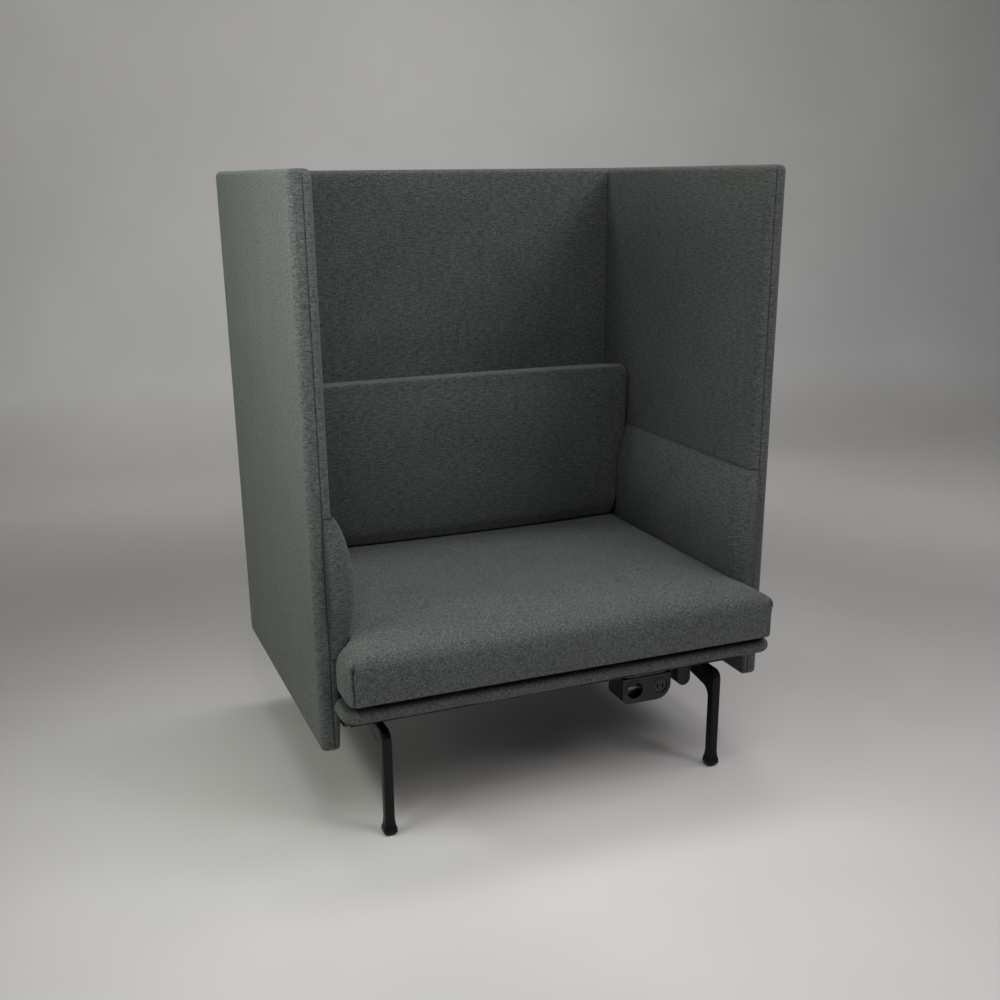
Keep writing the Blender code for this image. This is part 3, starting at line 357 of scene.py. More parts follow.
@dataclass(frozen=True)
class WoolCloth:
    """Melange wool: slubbed yarns of mixed greys in a plain weave, with a short nap."""

    name: str = "wool_cloth"
    dark: Colour = (0.0435, 0.0487, 0.0466)
    light: Colour = (0.1435, 0.1525, 0.1465)
    fleck: Colour = (0.36, 0.38, 0.36)
    sheen: Colour = (0.86, 0.90, 0.88)
    yarn: float = 0.0013
    depth: float = 0.00030
    seam_darkness: float = 0.74
    long_slubs: Triple = (60.0, 320.0, 1.0)
    short_slubs: Triple = (190.0, 480.0, 1.0)
    even_slubs: Triple = (360.0, 150.0, 420.0)
    lying_shortening: float = 2.2
    lying_range: tuple[float, float] = (0.45, 0.90)
    yarn_share: float = 0.58
    clump_share: float = 0.22
    grain_share: float = 0.14
    cloud_share: float = 0.06
    weave_share: float = 0.05
    weave_middle: float = 0.6
    clump_scale: float = 300
    grain_scale: float = 640
    cloud_scale: float = 9
    tone_range: tuple[float, float] = (0.36, 0.66)
    fleck_scale: float = 430
    fleck_range: tuple[float, float] = (0.74, 0.84)
    fleck_strength: float = 0.35
    roughness: float = 0.94
    specular: float = 0.22
    sheen_weight: float = 0.16
    sheen_roughness: float = 0.45

    def make(self) -> bpy.types.Material:
        """Return the material."""
        board = Board(self.name, self.light)
        place = board.place()
        axes = board.axes(place)
        facing = board.axes(board.node("ShaderNodeVectorMath", {"operation": "ABSOLUTE"},
                                       {0: board.node("ShaderNodeTexCoord")["Normal"]})[0])
        across = axes["X"] + (axes["Y"] - axes["X"]) * (facing["X"] > facing["Y"])
        level = facing["Z"] > 0.7
        weave = self._weave(board, place, across + (axes["Y"] - across) * level,
                            axes["Z"] + (axes["X"] - axes["Z"]) * level)
        grain = board.noise(place, self.grain_scale, 1.0)
        tone = (self.yarn_share * self._yarns(board, place, axes, facing, across)
                + self.clump_share * board.noise(place, self.clump_scale, 1.0)
                + self.grain_share * grain
                + self.cloud_share * board.noise(place, self.cloud_scale, 3.0)
                + self.weave_share * (weave - self.weave_middle))
        colour = board.mix(board.ramp(tone, *self.tone_range), self.dark, self.light)
        flecks = board.ramp(board.noise(place, self.fleck_scale, 0.0, 0.4), *self.fleck_range,
                            0.0, self.fleck_strength)
        colour = board.mix(flecks, colour, self.fleck)
        # Painted shade: seam_shade darkens the colour at seam bottoms, creases, seam ends, the deck
        # under the seat cushion and the cushion's underside.
        colour = board.scaled(colour, 1.0 - self.seam_darkness * board.painted("seam_shade"))
        return board.principled({"Base Color": colour, "Roughness": self.roughness,
                                 "Specular IOR Level": self.specular,
                                 "Sheen Weight": self.sheen_weight,
                                 "Sheen Roughness": self.sheen_roughness,
                                 "Sheen Tint": (*self.sheen, 1.0),
                                 "Normal": board.bump(0.7 * weave + 0.3 * grain, self.depth, 0.8)})

    def _yarns(self, board: Board, place: Signal, axes: Made, facing: Made,
               across: Signal) -> Signal:
        """Return the yarns' tone: slubs along the panels, and an even grain on the seat.

        Args:
            board: The material's board.
            place: The coordinates.
            axes: The coordinates' parts.
            facing: The parts of the surface's direction, without their signs.
            across: The coordinate that runs along a standing face.

        Returns:
            The tone, from 0 to 1.
        """
        standing = self._slubs(board, across, axes["Z"])
        lying = self._slubs(board, axes["Y"] * self.lying_shortening, axes["X"])
        yarns = standing + (lying - standing) * board.ramp(facing["Z"], *self.lying_range)
        even = board.noise(board.stretched(place, self.even_slubs), 1.0, 2.0, 0.6)
        return yarns + (even - yarns) * board.painted("even_grain")

    def _slubs(self, board: Board, across: Signal, upright: Signal) -> Signal:
        """Return the tone of long slubs with shorter ones among them."""
        flat = board.node("ShaderNodeCombineXYZ", None, {0: across, 1: upright})[0]
        longer, shorter = [board.noise(board.stretched(flat, scale), 1.0, 1.0)
                           for scale in (self.long_slubs, self.short_slubs)]
        return 0.5 * longer + 0.5 * shorter

    def _weave(self, board: Board, place: Signal, across: Signal, upright: Signal) -> Signal:
        """Return the weave's height: warp and weft yarns that pass over each other in turn."""
        wander = board.noise(place, 70, 1.0)
        warp = across / self.yarn + 1.6 * wander
        weft = upright / self.yarn - 1.4 * wander
        turn = (warp.maths("FLOOR") + weft.maths("FLOOR")) * 0.5
        over = turn.maths("FRACT") * 2.0
        warp_round, weft_round = [(yarn.maths("FRACT") * math.pi).maths("SINE")
                                  for yarn in (warp, weft)]
        return warp_round + (weft_round - warp_round) * over


@dataclass(frozen=True)
class Timber:
    """Bare timber or plywood, with grain that runs along one axis."""

    name: str
    dark: Colour
    light: Colour
    grain: Triple
    plies: float = 0.0
    ply_darkness: float = 0.72
    roughness: tuple[float, float] = (0.55, 0.72)
    depth: float = 0.0004

    def make(self) -> bpy.types.Material:
        """Return the material."""
        board = Board(self.name, self.light)
        place = board.place()
        fibre = board.noise(board.stretched(place, self.grain), 30, 5.0, 0.65)
        rings = board.noise(board.stretched(place, self.grain), 6, 2.0)
        colour = board.mix(board.ramp(0.6 * fibre + 0.4 * rings, 0.3, 0.7), self.dark, self.light)
        if self.plies:
            ply = ((board.axes(place)["X"] / self.plies).maths("FRACT") - 0.5).maths("ABSOLUTE")
            colour = board.scaled(colour, board.ramp(ply, 0.10, 0.30, self.ply_darkness, 1.0))
        return board.principled({"Base Color": colour,
                                 "Roughness": board.ramp(fibre, 0.2, 0.8, *self.roughness),
                                 "Normal": board.bump(fibre, self.depth, 0.5)})


@dataclass(frozen=True)
class Metal:
    """A plated or powder coated metal."""

    name: str
    dark: Colour
    light: Colour
    metallic: float
    roughness: float
    texture: float
    depth: float
    gloss: float = 0.35
    smoother: float = 0.05
    rougher: float = 0.07

    def make(self) -> bpy.types.Material:
        """Return the material."""
        board = Board(self.name, self.light)
        place = board.place()
        grit = board.noise(place, self.texture, 3.0, 0.6)
        cloud = board.noise(place, 24, 3.0, 0.55)
        colour = board.mix(board.ramp(0.4 * grit + 0.6 * cloud, 0.35, 0.65), self.dark, self.light)
        rough = board.ramp(cloud, 0.3, 0.7, self.roughness - self.smoother,
                           self.roughness + self.rougher)
        return board.principled({"Base Color": colour, "Metallic": self.metallic,
                                 "Roughness": rough, "Specular IOR Level": self.gloss,
                                 "Normal": board.bump(grit, self.depth, 0.6)})


@dataclass(frozen=True)
class Moulding:
    """A moulded plastic with a fine eroded texture."""

    name: str
    dark: Colour
    light: Colour
    roughness: float
    texture: float = 1500.0
    depth: float = 0.00008
    rougher: float = 0.12

    def make(self) -> bpy.types.Material:
        """Return the material."""
        board = Board(self.name, self.light)
        place = board.place()
        grit = board.noise(place, self.texture, 2.0)
        dust = board.noise(place, 36, 4.0, 0.6)
        colour = board.mix(board.ramp(dust, 0.45, 0.75), self.dark, self.light)
        rough = board.ramp(dust, 0.35, 0.7, self.roughness, self.roughness + self.rougher)
        return board.principled({"Base Color": colour, "Roughness": rough,
                                 "Specular IOR Level": 0.5,
                                 "Normal": board.bump(grit, self.depth, 0.5)})


@dataclass(frozen=True)
class FeltCloth:
    """Thin non-woven cloth below the frame: pressed fibres in a small grid of dots."""

    name: str = "dust_cloth"
    colour: Colour = (0.020, 0.020, 0.021)
    worn: Colour = (0.040, 0.040, 0.041)
    grid: float = 0.0035
    depth: float = 0.0002

    def make(self) -> bpy.types.Material:
        """Return the material."""
        board = Board(self.name, self.worn)
        place = board.place()
        axes = board.axes(place)
        fibre = board.noise(place, 900, 3.0, 0.6)
        along, across = [(axes[name] * (math.tau / self.grid)).maths("SINE") for name in "XY"]
        dot = along * across
        tone = board.ramp(fibre + 0.25 * dot, 0.3, 0.8)
        return board.principled({"Base Color": board.mix(tone, self.colour, self.worn),
                                 "Roughness": 0.9,
                                 "Normal": board.bump(0.6 * fibre + 0.4 * dot, self.depth, 0.6)})


FINISHES = {
    Slot.WOOL: WoolCloth(),
    Slot.PLYWOOD: Timber("birch_plywood", (0.42, 0.30, 0.18), (0.62, 0.48, 0.31),
                         grain=(1.0, 1.0, 0.08), plies=0.003),
    # Painted shade: the pine rails' near-black colour stands in for the shadow that they lie in
    # under the deck.
    Slot.PINE: Timber("pine_timber", (0.012, 0.011, 0.010), (0.026, 0.023, 0.020),
                      grain=(0.08, 1.0, 1.0)),
    Slot.ZINC: Metal("zinc_steel", (0.42, 0.43, 0.44), (0.60, 0.61, 0.62),
                     metallic=1.0, roughness=0.36, texture=700, depth=0.00004),
    Slot.BLACK_STEEL: Metal("black_steel", (0.010, 0.010, 0.011), (0.020, 0.020, 0.021),
                            metallic=0.2, roughness=0.46, texture=1600, depth=0.00006),
    Slot.CAST_BLACK: Metal("cast_leg_black", (0.0035, 0.0033, 0.0034), (0.0065, 0.006, 0.0062),
                           metallic=0.0, roughness=0.34, texture=1100, depth=0.00007, gloss=0.20),
    Slot.PLASTIC: Moulding("black_plastic", (0.007, 0.007, 0.0072), (0.012, 0.012, 0.0122),
                           roughness=0.42),
    Slot.GLOSS_PLASTIC: Moulding("socket_plastic", (0.003, 0.003, 0.003), (0.005, 0.005, 0.005),
                                 roughness=0.24, depth=0.00002),
    Slot.NICKEL: Metal("nickel_contact", (0.16, 0.155, 0.145), (0.24, 0.23, 0.215),
                       metallic=1.0, roughness=0.36, texture=500, depth=0.00002),
    Slot.DUST_CLOTH: FeltCloth(),
}


def ease(value: np.ndarray) -> np.ndarray:
    """Return values eased from 0 to 1, level at both ends."""
    share = np.clip(value, 0.0, 1.0)
    return share * share * (3.0 - 2.0 * share)


def ripple(points: np.ndarray, length: float, seed: int, count: int = 14) -> np.ndarray:
    """Return smooth waves over space, the same at every run.

    Args:
        points: Places in metres.
        length: The waves' length.
        seed: The seed of their directions.
        count: How many waves are laid over each other.

    Returns:
        A value for each point, about from -1 to 1.
    """
    chance = np.random.default_rng(seed)
    waves = chance.normal(size=(count, 3))
    waves *= (math.tau / length) / np.linalg.norm(waves, axis=1, keepdims=True)
    waves *= chance.uniform(0.6, 1.4, size=(count, 1))
    phases = chance.uniform(0, math.tau, size=count)
    return np.sin(points @ waves.T + phases).sum(axis=1) / math.sqrt(count / 2)


def put_in_scene(name: str, data: bpy.types.ID) -> bpy.types.Object:
    """Return a new object in the scene that shows a mesh, lamp or camera."""
    made = bpy.data.objects.new(name, data)
    bpy.context.scene.collection.objects.link(made)
    return made


class Skin:
    """A closed fabric form, held as arrays while it is shaped."""

    def __init__(self, points: np.ndarray, faces: np.ndarray) -> None:
        """Hold the form.

        Args:
            points: Its points, in metres.
            faces: Four point numbers a face, anticlockwise from outside.
        """
        self.points = points
        self.faces = faces
        self.shade = np.zeros(len(points))
        self.even_grain = 0.0

    def nearest(self, place: Sequence[float]) -> np.ndarray:
        """Return the form's point nearest to a place."""
        return self.points[np.argmin(((self.points - np.array(place)) ** 2).sum(axis=1))]

    def normals(self) -> np.ndarray:
        """Return the outward direction at each point."""
        corner = self.points[self.faces]
        facing = np.cross(corner[:, 2] - corner[:, 0], corner[:, 3] - corner[:, 1])
        total = np.zeros_like(self.points)
        for column in range(4):
            np.add.at(total, self.faces[:, column], facing)
        return total / np.maximum(np.linalg.norm(total, axis=1, keepdims=True), 1e-12)

    def swell(self, amount: np.ndarray) -> None:
        """Move each point outwards by an amount."""
        self.points = self.points + self.normals() * amount[:, None]

    def distance_to(self, path: np.ndarray) -> np.ndarray:
        """Return each point's distance to a path of points."""
        best = np.full(len(self.points), 1e9)
        for start, end in zip(path, path[1:]):
            run = end - start
            share = np.clip(((self.points - start) @ run) / max(run @ run, 1e-12), 0.0, 1.0)
            away = np.linalg.norm(self.points - start - share[:, None] * run, axis=1)
            best = np.minimum(best, away)
        return best

    def seam(self, path: np.ndarray, width: float, depth: float, lip: float,
             shade: float = 1.0) -> None:
        """Press a sewn seam into the form, and shade its bottom.

        Args:
            path: The seam's line.
            width: From the line to where the fabric is level again.
            depth: How deep it goes.
            lip: How far the fabric swells beside it.
            shade: How dark the bottom gets, from 0 to 1.
        """
        away = self.distance_to(path) / width
        groove = np.exp(-(away * SEAM_SHARPNESS) ** 2)
        beside = np.exp(-((away - 1.0) * SEAM_SHARPNESS) ** 2)
        self.swell(lip * beside - depth * groove)
        stitches = 0.8 + 0.2 * ripple(self.points, STITCH_LENGTH, 3)
        shadow = shade * stitches * np.exp(-(away * SEAM_SHADE_SHARPNESS) ** 2)
        self.shade = np.maximum(self.shade, shadow)

    def dimple(self, centre: Sequence[float], radius: float, depth: float,
               shade: float = 0.0) -> None:
        """Press a round dimple into the form, or raise one where the depth is negative."""
        away = np.linalg.norm(self.points - np.array(centre), axis=1) / radius
        self.swell(-depth * np.exp(-away ** 2 * 2.0))
        self.shade = np.maximum(self.shade, shade * np.exp(-away ** 2 * 3.0))

    def edge_hold(self) -> np.ndarray:
        """Return how near each point is to an edge of the form, from 0 to 1."""
        low, high = self.points.min(axis=0), self.points.max(axis=0)
        inside = np.minimum(self.points - low, high - self.points)
        second = np.sort(inside, axis=1)[:, 1]
        return 1 - ease(second / EDGE_HOLD_REACH)

    def mirror_to(self, side: Side) -> None:
        """Turn a form that was shaped for the right side into the one for a side."""
        self.points[:, 0] *= side.value
        if side is Side.LEFT:
            self.faces = self.faces[:, ::-1]

    def inflate(self, hold: np.ndarray, most: float) -> None:
        """Let the fabric take up pressure by cloth simulation, as a filled cover does.

        The form's edges are held as well.

        Args:
            hold: How firmly each point is held, from 0 to 1.
            most: The furthest that a point may move.
        """
        hold = np.maximum(self.edge_hold(), hold)
        mesh = bpy.data.meshes.new("cover_at_work")
        mesh.from_pydata(self.points.tolist(), [], self.faces.tolist())
        piece = put_in_scene("cover_at_work", mesh)
        group = piece.vertex_groups.new(name="held")
        for number in np.flatnonzero(hold > 0.01):
            group.add([int(number)], float(hold[number]), "REPLACE")
        cloth = piece.modifiers.new("filling", "CLOTH").settings
        for setting, value in CLOTH_SETTINGS.items():
            setattr(cloth, setting, value)
        cloth.uniform_pressure_force = FILLING_PRESSURE
        cloth.vertex_group_mass = "held"
        cloth.effector_weights.gravity = 0.0
        scene = bpy.context.scene
        for step in range(1, CLOTH_STEPS + 1):
            scene.frame_set(step)
        blown = piece.evaluated_get(bpy.context.evaluated_depsgraph_get()).data
        after = np.empty(len(blown.vertices) * 3)
        blown.vertices.foreach_get("co", after)
        scene.frame_set(1)
        bpy.data.objects.remove(piece, do_unlink=True)
        move = after.reshape(-1, 3) - self.points
        length = np.linalg.norm(move, axis=1, keepdims=True)
        self.points = self.points + move * most * np.tanh(length / most) / np.maximum(length, 1e-12)

    def piece(self, name: str, material: bpy.types.Material) -> bpy.types.Object:
        """Make the form into an object.

        Args:
            name: The piece's name.
            material: Its finish.

        Returns:
            The object.
        """
        corner = self.points[self.faces]
        facing = np.cross(corner[:, 2] - corner[:, 0], corner[:, 3] - corner[:, 1])
        if (corner.mean(axis=1) * facing).sum() < 0:
            self.faces = self.faces[:, ::-1]
        mesh = bpy.data.meshes.new(name)
        mesh.from_pydata(self.points.tolist(), [], self.faces.tolist())
        mesh.materials.append(material)
        mesh.shade_smooth()
        even = np.full(len(self.points), self.even_grain)
        for attribute, values in (("seam_shade", self.shade), ("even_grain", even)):
            painted = mesh.attributes.new(attribute, "FLOAT", "POINT")
            painted.data.foreach_set("value", values.astype(np.float32))
        LOG.info("%s: %d faces", name, len(self.faces))
        return put_in_scene(name, mesh)


def sheet_faces(sheet: np.ndarray) -> np.ndarray:
    """Return the four-cornered faces between the points of a grid of point numbers."""
    corners = [sheet[:-1, :-1], sheet[1:, :-1], sheet[1:, 1:], sheet[:-1, 1:]]
    return np.stack(corners, axis=-1).reshape(-1, 4)


@dataclass(frozen=True)
class Ring:
    """One level of a block: its height, and its limits in X and Y, all from the block's middle."""

    height: float
    low: tuple[float, float]
    high: tuple[float, float]


@dataclass
class Block:
    """A closed block of quads with round upright corners, whose sides roll over to its faces.

    The rolls are given in X, Y and Z. ``lines_x`` and ``lines_y`` are places where a row of
    points has to run. A slanted underside leaves the sides at a crisp edge, and a shrinking
    corner gets smaller where the sides roll in. Where ``rear_edge`` is given, the rear is plain
    and its corners are that small. The rings of ``hollow``, deepest first, lead up into the
    block from its underside.
    """

    low: Vector
    high: Vector
    corner: float
    low_roll: Triple
    high_roll: Triple
    spacing: float
    turns: int = 6
    corner_turns: int = 6
    lines_x: Sequence[float] = ()
    lines_y: Sequence[float] = ()
    slanted: bool = False
    shrinking: bool = False
    rear_edge: float | None = None
    hollow: Sequence[Ring] = ()
    crisp_edge: float = 0.0015
    least_corner: float = 0.15
    least_gap: float = 0.0003

    def _profile(self) -> list[Triple]:
        """Return height, X inset and Y inset of each level, upwards."""
        half = (self.high.z - self.low.z) / 2
        low_edge, high_edge = self.low_roll[2] - half, half - self.high_roll[2]
        profile: list[Triple] = []
        for step in range(self.turns, -1, -1):
            angle = math.pi / 2 * step / self.turns
            inset = 1 - math.cos(angle)
            drop = inset ** 1.1 if self.slanted else math.sin(angle)
            profile.append((low_edge - self.low_roll[2] * drop, self.low_roll[0] * inset,
                            self.low_roll[1] * inset))
        if self.slanted:
            profile.append((low_edge + self.crisp_edge, 0.0, 0.0))
        count = max(1, round((high_edge - low_edge) / self.spacing))
        profile += [(low_edge + (high_edge - low_edge) * step / count, 0.0, 0.0)
                    for step in range(1, count)]
        for step in range(self.turns + 1):
            angle = math.pi / 2 * step / self.turns
            inset = 1 - math.cos(angle)
            profile.append((high_edge + self.high_roll[2] * math.sin(angle),
                            self.high_roll[0] * inset, self.high_roll[1] * inset))
        return profile

    def _rings(self) -> list[Ring]:
        """Return the block's levels, from inside its underside to its top."""
        half = (self.high - self.low) / 2
        rings = list(self.hollow)
        for height, inset_x, inset_y in self._profile():
            rear = half.y - (inset_y if self.rear_edge is None else 0.0)
            rings.append(Ring(height, (inset_x - half.x, inset_y - half.y),
                              (half.x - inset_x, rear)))
        return rings

    @staticmethod
    def _follow(shift: float, away: np.ndarray) -> np.ndarray:
        """Return how far places follow an end that shifts, less and less away from it."""
        return shift * np.clip(1 - away / max(4 * abs(shift), 0.02), 0, 1)

    def _stations(self, axis: int, ring: Ring) -> tuple[np.ndarray, float, float]:
        """Place points along one axis of a ring: even between its corners, and dense in them.

        Args:
            axis: 0 for X, 1 for Y.
            ring: The ring.

        Returns:
            The places, and where the low corner ends and the high one starts.
        """
        half = ((self.high - self.low) / 2)[axis]
        middle = ((self.high + self.low) / 2)[axis]
        high_size = self.corner if axis == 0 or self.rear_edge is None else self.rear_edge
        flat_low, flat_high = self.corner - half, half - high_size
        lines = [line - middle for line in (self.lines_x, self.lines_y)[axis]
                 if flat_low + self.least_gap < line - middle < flat_high - self.least_gap]
        count = max(2, round((flat_high - flat_low) / self.spacing))
        even = np.linspace(flat_low, flat_high, count + 1)
        clear = [place for place in even[1:-1]
                 if all(abs(place - line) > self.spacing * 0.3 for line in lines)]
        inner = np.array(sorted([flat_low, *clear, *lines, flat_high]))
        low, high = ring.low[axis], ring.high[axis]
        low_corner, high_corner = self.corner, high_size
        if self.shrinking:
            low_corner = max(self.corner - (low + half), self.corner * self.least_corner)
            high_corner = max(high_size - (half - high), high_size * self.least_corner)
        low_end, high_start = low + low_corner, high - high_corner
        inner = (inner + self._follow(low_end - flat_low, inner - flat_low)
                 + self._follow(high_start - flat_high, flat_high - inner))
        turn = np.tan(np.linspace(0, math.pi / 4, self.corner_turns + 1)[1:])
        places = np.concatenate([low_end - low_corner * turn[::-1], inner,
                                 high_start + high_corner * turn])
        return places, low_end, high_start

    def _layer(self, ring: Ring) -> np.ndarray:
        """Return the grid of points of one ring, its corners rounded."""
        along_x, left, right = self._stations(0, ring)
        along_y, front, rear = self._stations(1, ring)
        plan = np.stack(np.meshgrid(along_x, along_y, indexing="ij"), axis=-1)
        core = np.clip(plan, (left, front), (right, rear))
        off = plan - core
        sizes = np.where(off < 0, np.array((left, front)) - ring.low,
                         np.array(ring.high) - (right, rear))
        share = np.abs(off) / sizes
        length = np.linalg.norm(share, axis=-1, keepdims=True)
        longest = share.max(axis=-1, keepdims=True)
        plan = core + off * np.where(length > 1e-9, longest / np.maximum(length, 1e-9), 1.0)
        return np.concatenate([plan, np.full((*plan.shape[:2], 1), ring.height)], axis=-1)

    def build(self, shape: Shape | None = None) -> Skin:
        """Build the block.

        Args:
            shape: Takes the points and their places from -1 to 1, and returns where the points go.

        Returns:
            The form.
        """
        grid = np.stack([self._layer(ring) for ring in self._rings()], axis=2)
        on_skin = np.zeros(grid.shape[:3], bool)
        for axis in range(3):
            on_skin[tuple([slice(None)] * axis + [0])] = True
            on_skin[tuple([slice(None)] * axis + [-1])] = True
        number = np.full(grid.shape[:3], -1)
        number[on_skin] = np.arange(on_skin.sum())
        points = grid[on_skin]
        faces = []
        for axis in range(3):
            for end in (0, -1):
                quads = sheet_faces(number.take(end, axis=axis))
                outward = (axis != 1) == (end == -1)
                faces.append(quads if outward else quads[:, ::-1])
        place = points / np.array((self.high - self.low) / 2)
        points = points + np.array((self.high + self.low) / 2)
        if shape is not None:
            points = shape(points, place)
        return Skin(points, np.concatenate(faces))


@dataclass
class ChairLines:
    """The chair's main lines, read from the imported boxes."""

    inner_x: float = field(init=False)
    outer_x: float = field(init=False)
    panel_front: float = field(init=False)
    panel_rear: float = field(init=False)
    panel_low: float = field(init=False)
    panel_top: float = field(init=False)
    back_face: float = field(init=False)

    def __post_init__(self) -> None:
        """Read the boxes."""
        low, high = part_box("right_side_cover")
        self.inner_x, self.outer_x = low.x, high.x
        self.panel_front, self.panel_rear = low.y, high.y
        self.panel_low, self.panel_top = low.z, high.z
        self.back_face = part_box("back_cover")[0].y


def dress(piece: bpy.types.Object, body: Body, slot: Slot, *nodes: str) -> bpy.types.Object:
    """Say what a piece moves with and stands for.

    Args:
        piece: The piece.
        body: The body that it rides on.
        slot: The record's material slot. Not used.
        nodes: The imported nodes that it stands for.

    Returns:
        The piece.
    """
    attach(piece, body.value)
    if nodes:
        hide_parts(*nodes)
    return piece


@dataclass
class SidePanel:
    """One upholstered side panel: foam and fabric pulled tight over its board."""

    side: Side
    lines: ChairLines
    wool: bpy.types.Material
    edge: float = 0.0115
    spacing: float = 0.010
    seam_inset: float = 0.0175
    seam_depth: float = 0.0016
    seam_width: float = 0.0027
    seam_lip: float = 0.0004
    seam_rows: tuple[float, ...] = (-0.0030, -0.0016, -0.0008, 0.0, 0.0008, 0.0016, 0.0030)
    taper: float = 0.0060
    taper_height: float = 0.10
    low_edge: float = 0.0088
    hem: float = 0.0014
    unevenness: float = 0.0004
    wave: float = 0.16
    calm_edge: float = 0.05

    def build(self) -> bpy.types.Object:
        """Build the panel's fabric and dress it."""
        lines = self.lines
        seam_x = lines.inner_x + self.seam_inset
        block = Block(Vector((lines.inner_x, lines.panel_front, lines.panel_low - self.hem)),
                      Vector((lines.outer_x, lines.panel_rear, lines.panel_top)),
                      self.edge, (self.low_edge,) * 3, (self.edge,) * 3, self.spacing,
                      lines_x=[seam_x + step for step in self.seam_rows], shrinking=True)
        skin = block.build(self._taper)
        skin.swell(self.unevenness * ripple(skin.points, self.wave, 11 + self.side.value)
                   * self._on_faces(skin.points))
        front = np.array([(seam_x, lines.panel_front, z)
                          for z in (lines.panel_low, lines.panel_top)])
        top = np.array([(seam_x, y, lines.panel_top)
                        for y in (lines.panel_front, lines.panel_rear)])
        rear = front + np.array((0, lines.panel_rear - lines.panel_front, 0))
        for path in (front, top, rear):
            skin.seam(path, self.seam_width, self.seam_depth, self.seam_lip)
        skin.mirror_to(self.side)
        piece = skin.piece(f"{self.side.label}_panel_fabric", self.wool)
        dress(piece, Body.CHAIR, Slot.WOOL, f"{self.side.label}_side_cover")
        return piece

    def _taper(self, points: np.ndarray, place: np.ndarray) -> np.ndarray:
        """Return the block's points with the inner face drawn outwards towards the bottom."""
        moved = points.copy()
        low_down = ease(1 - (points[:, 2] - self.lines.panel_low) / self.taper_height)
        moved[:, 0] += self.taper * low_down * np.clip(-place[:, 0], 0, 1)
        return moved

    def _on_faces(self, points: np.ndarray) -> np.ndarray:
        """Return 1 on the panel's large faces, easing to 0 at its edges."""
        lines = self.lines
        depth = np.minimum(points[:, 1] - lines.panel_front, lines.panel_rear - points[:, 1])
        height = np.minimum(points[:, 2] - lines.panel_low, lines.panel_top - points[:, 2])
        return ease(np.minimum(depth, height) / self.calm_edge)


@dataclass
class BackPanel:
    """The upholstered back panel between the side panels."""

    lines: ChairLines
    wool: bpy.types.Material
    edge: float = 0.0115
    spacing: float = 0.010
    joint_gap: float = 0.0006
    joint_edge: float = 0.0030
    hem: float = 0.0014
    unevenness: float = 0.0004
    wave: float = 0.18
    calm_edge: float = 0.05

    def build(self) -> bpy.types.Object:
        """Build the panel's fabric and dress it."""
        lines = self.lines
        half = lines.inner_x - self.joint_gap
        roll = (self.joint_edge, self.edge, self.edge)
        block = Block(Vector((-half, lines.back_face, lines.panel_low - self.hem)),
                      Vector((half, lines.panel_rear, lines.panel_top)),
                      self.joint_edge, roll, roll, self.spacing, shrinking=True)
        skin = block.build()
        x, z = skin.points[:, 0], skin.points[:, 2]
        from_edge = np.minimum.reduce([half - np.abs(x), lines.panel_top - z, z - lines.panel_low])
        skin.swell(self.unevenness * ripple(skin.points, self.wave, 5)
                   * ease(from_edge / self.calm_edge))
        piece = skin.piece("back_panel_fabric", self.wool)
        dress(piece, Body.CHAIR, Slot.WOOL, "back_cover")
        return piece


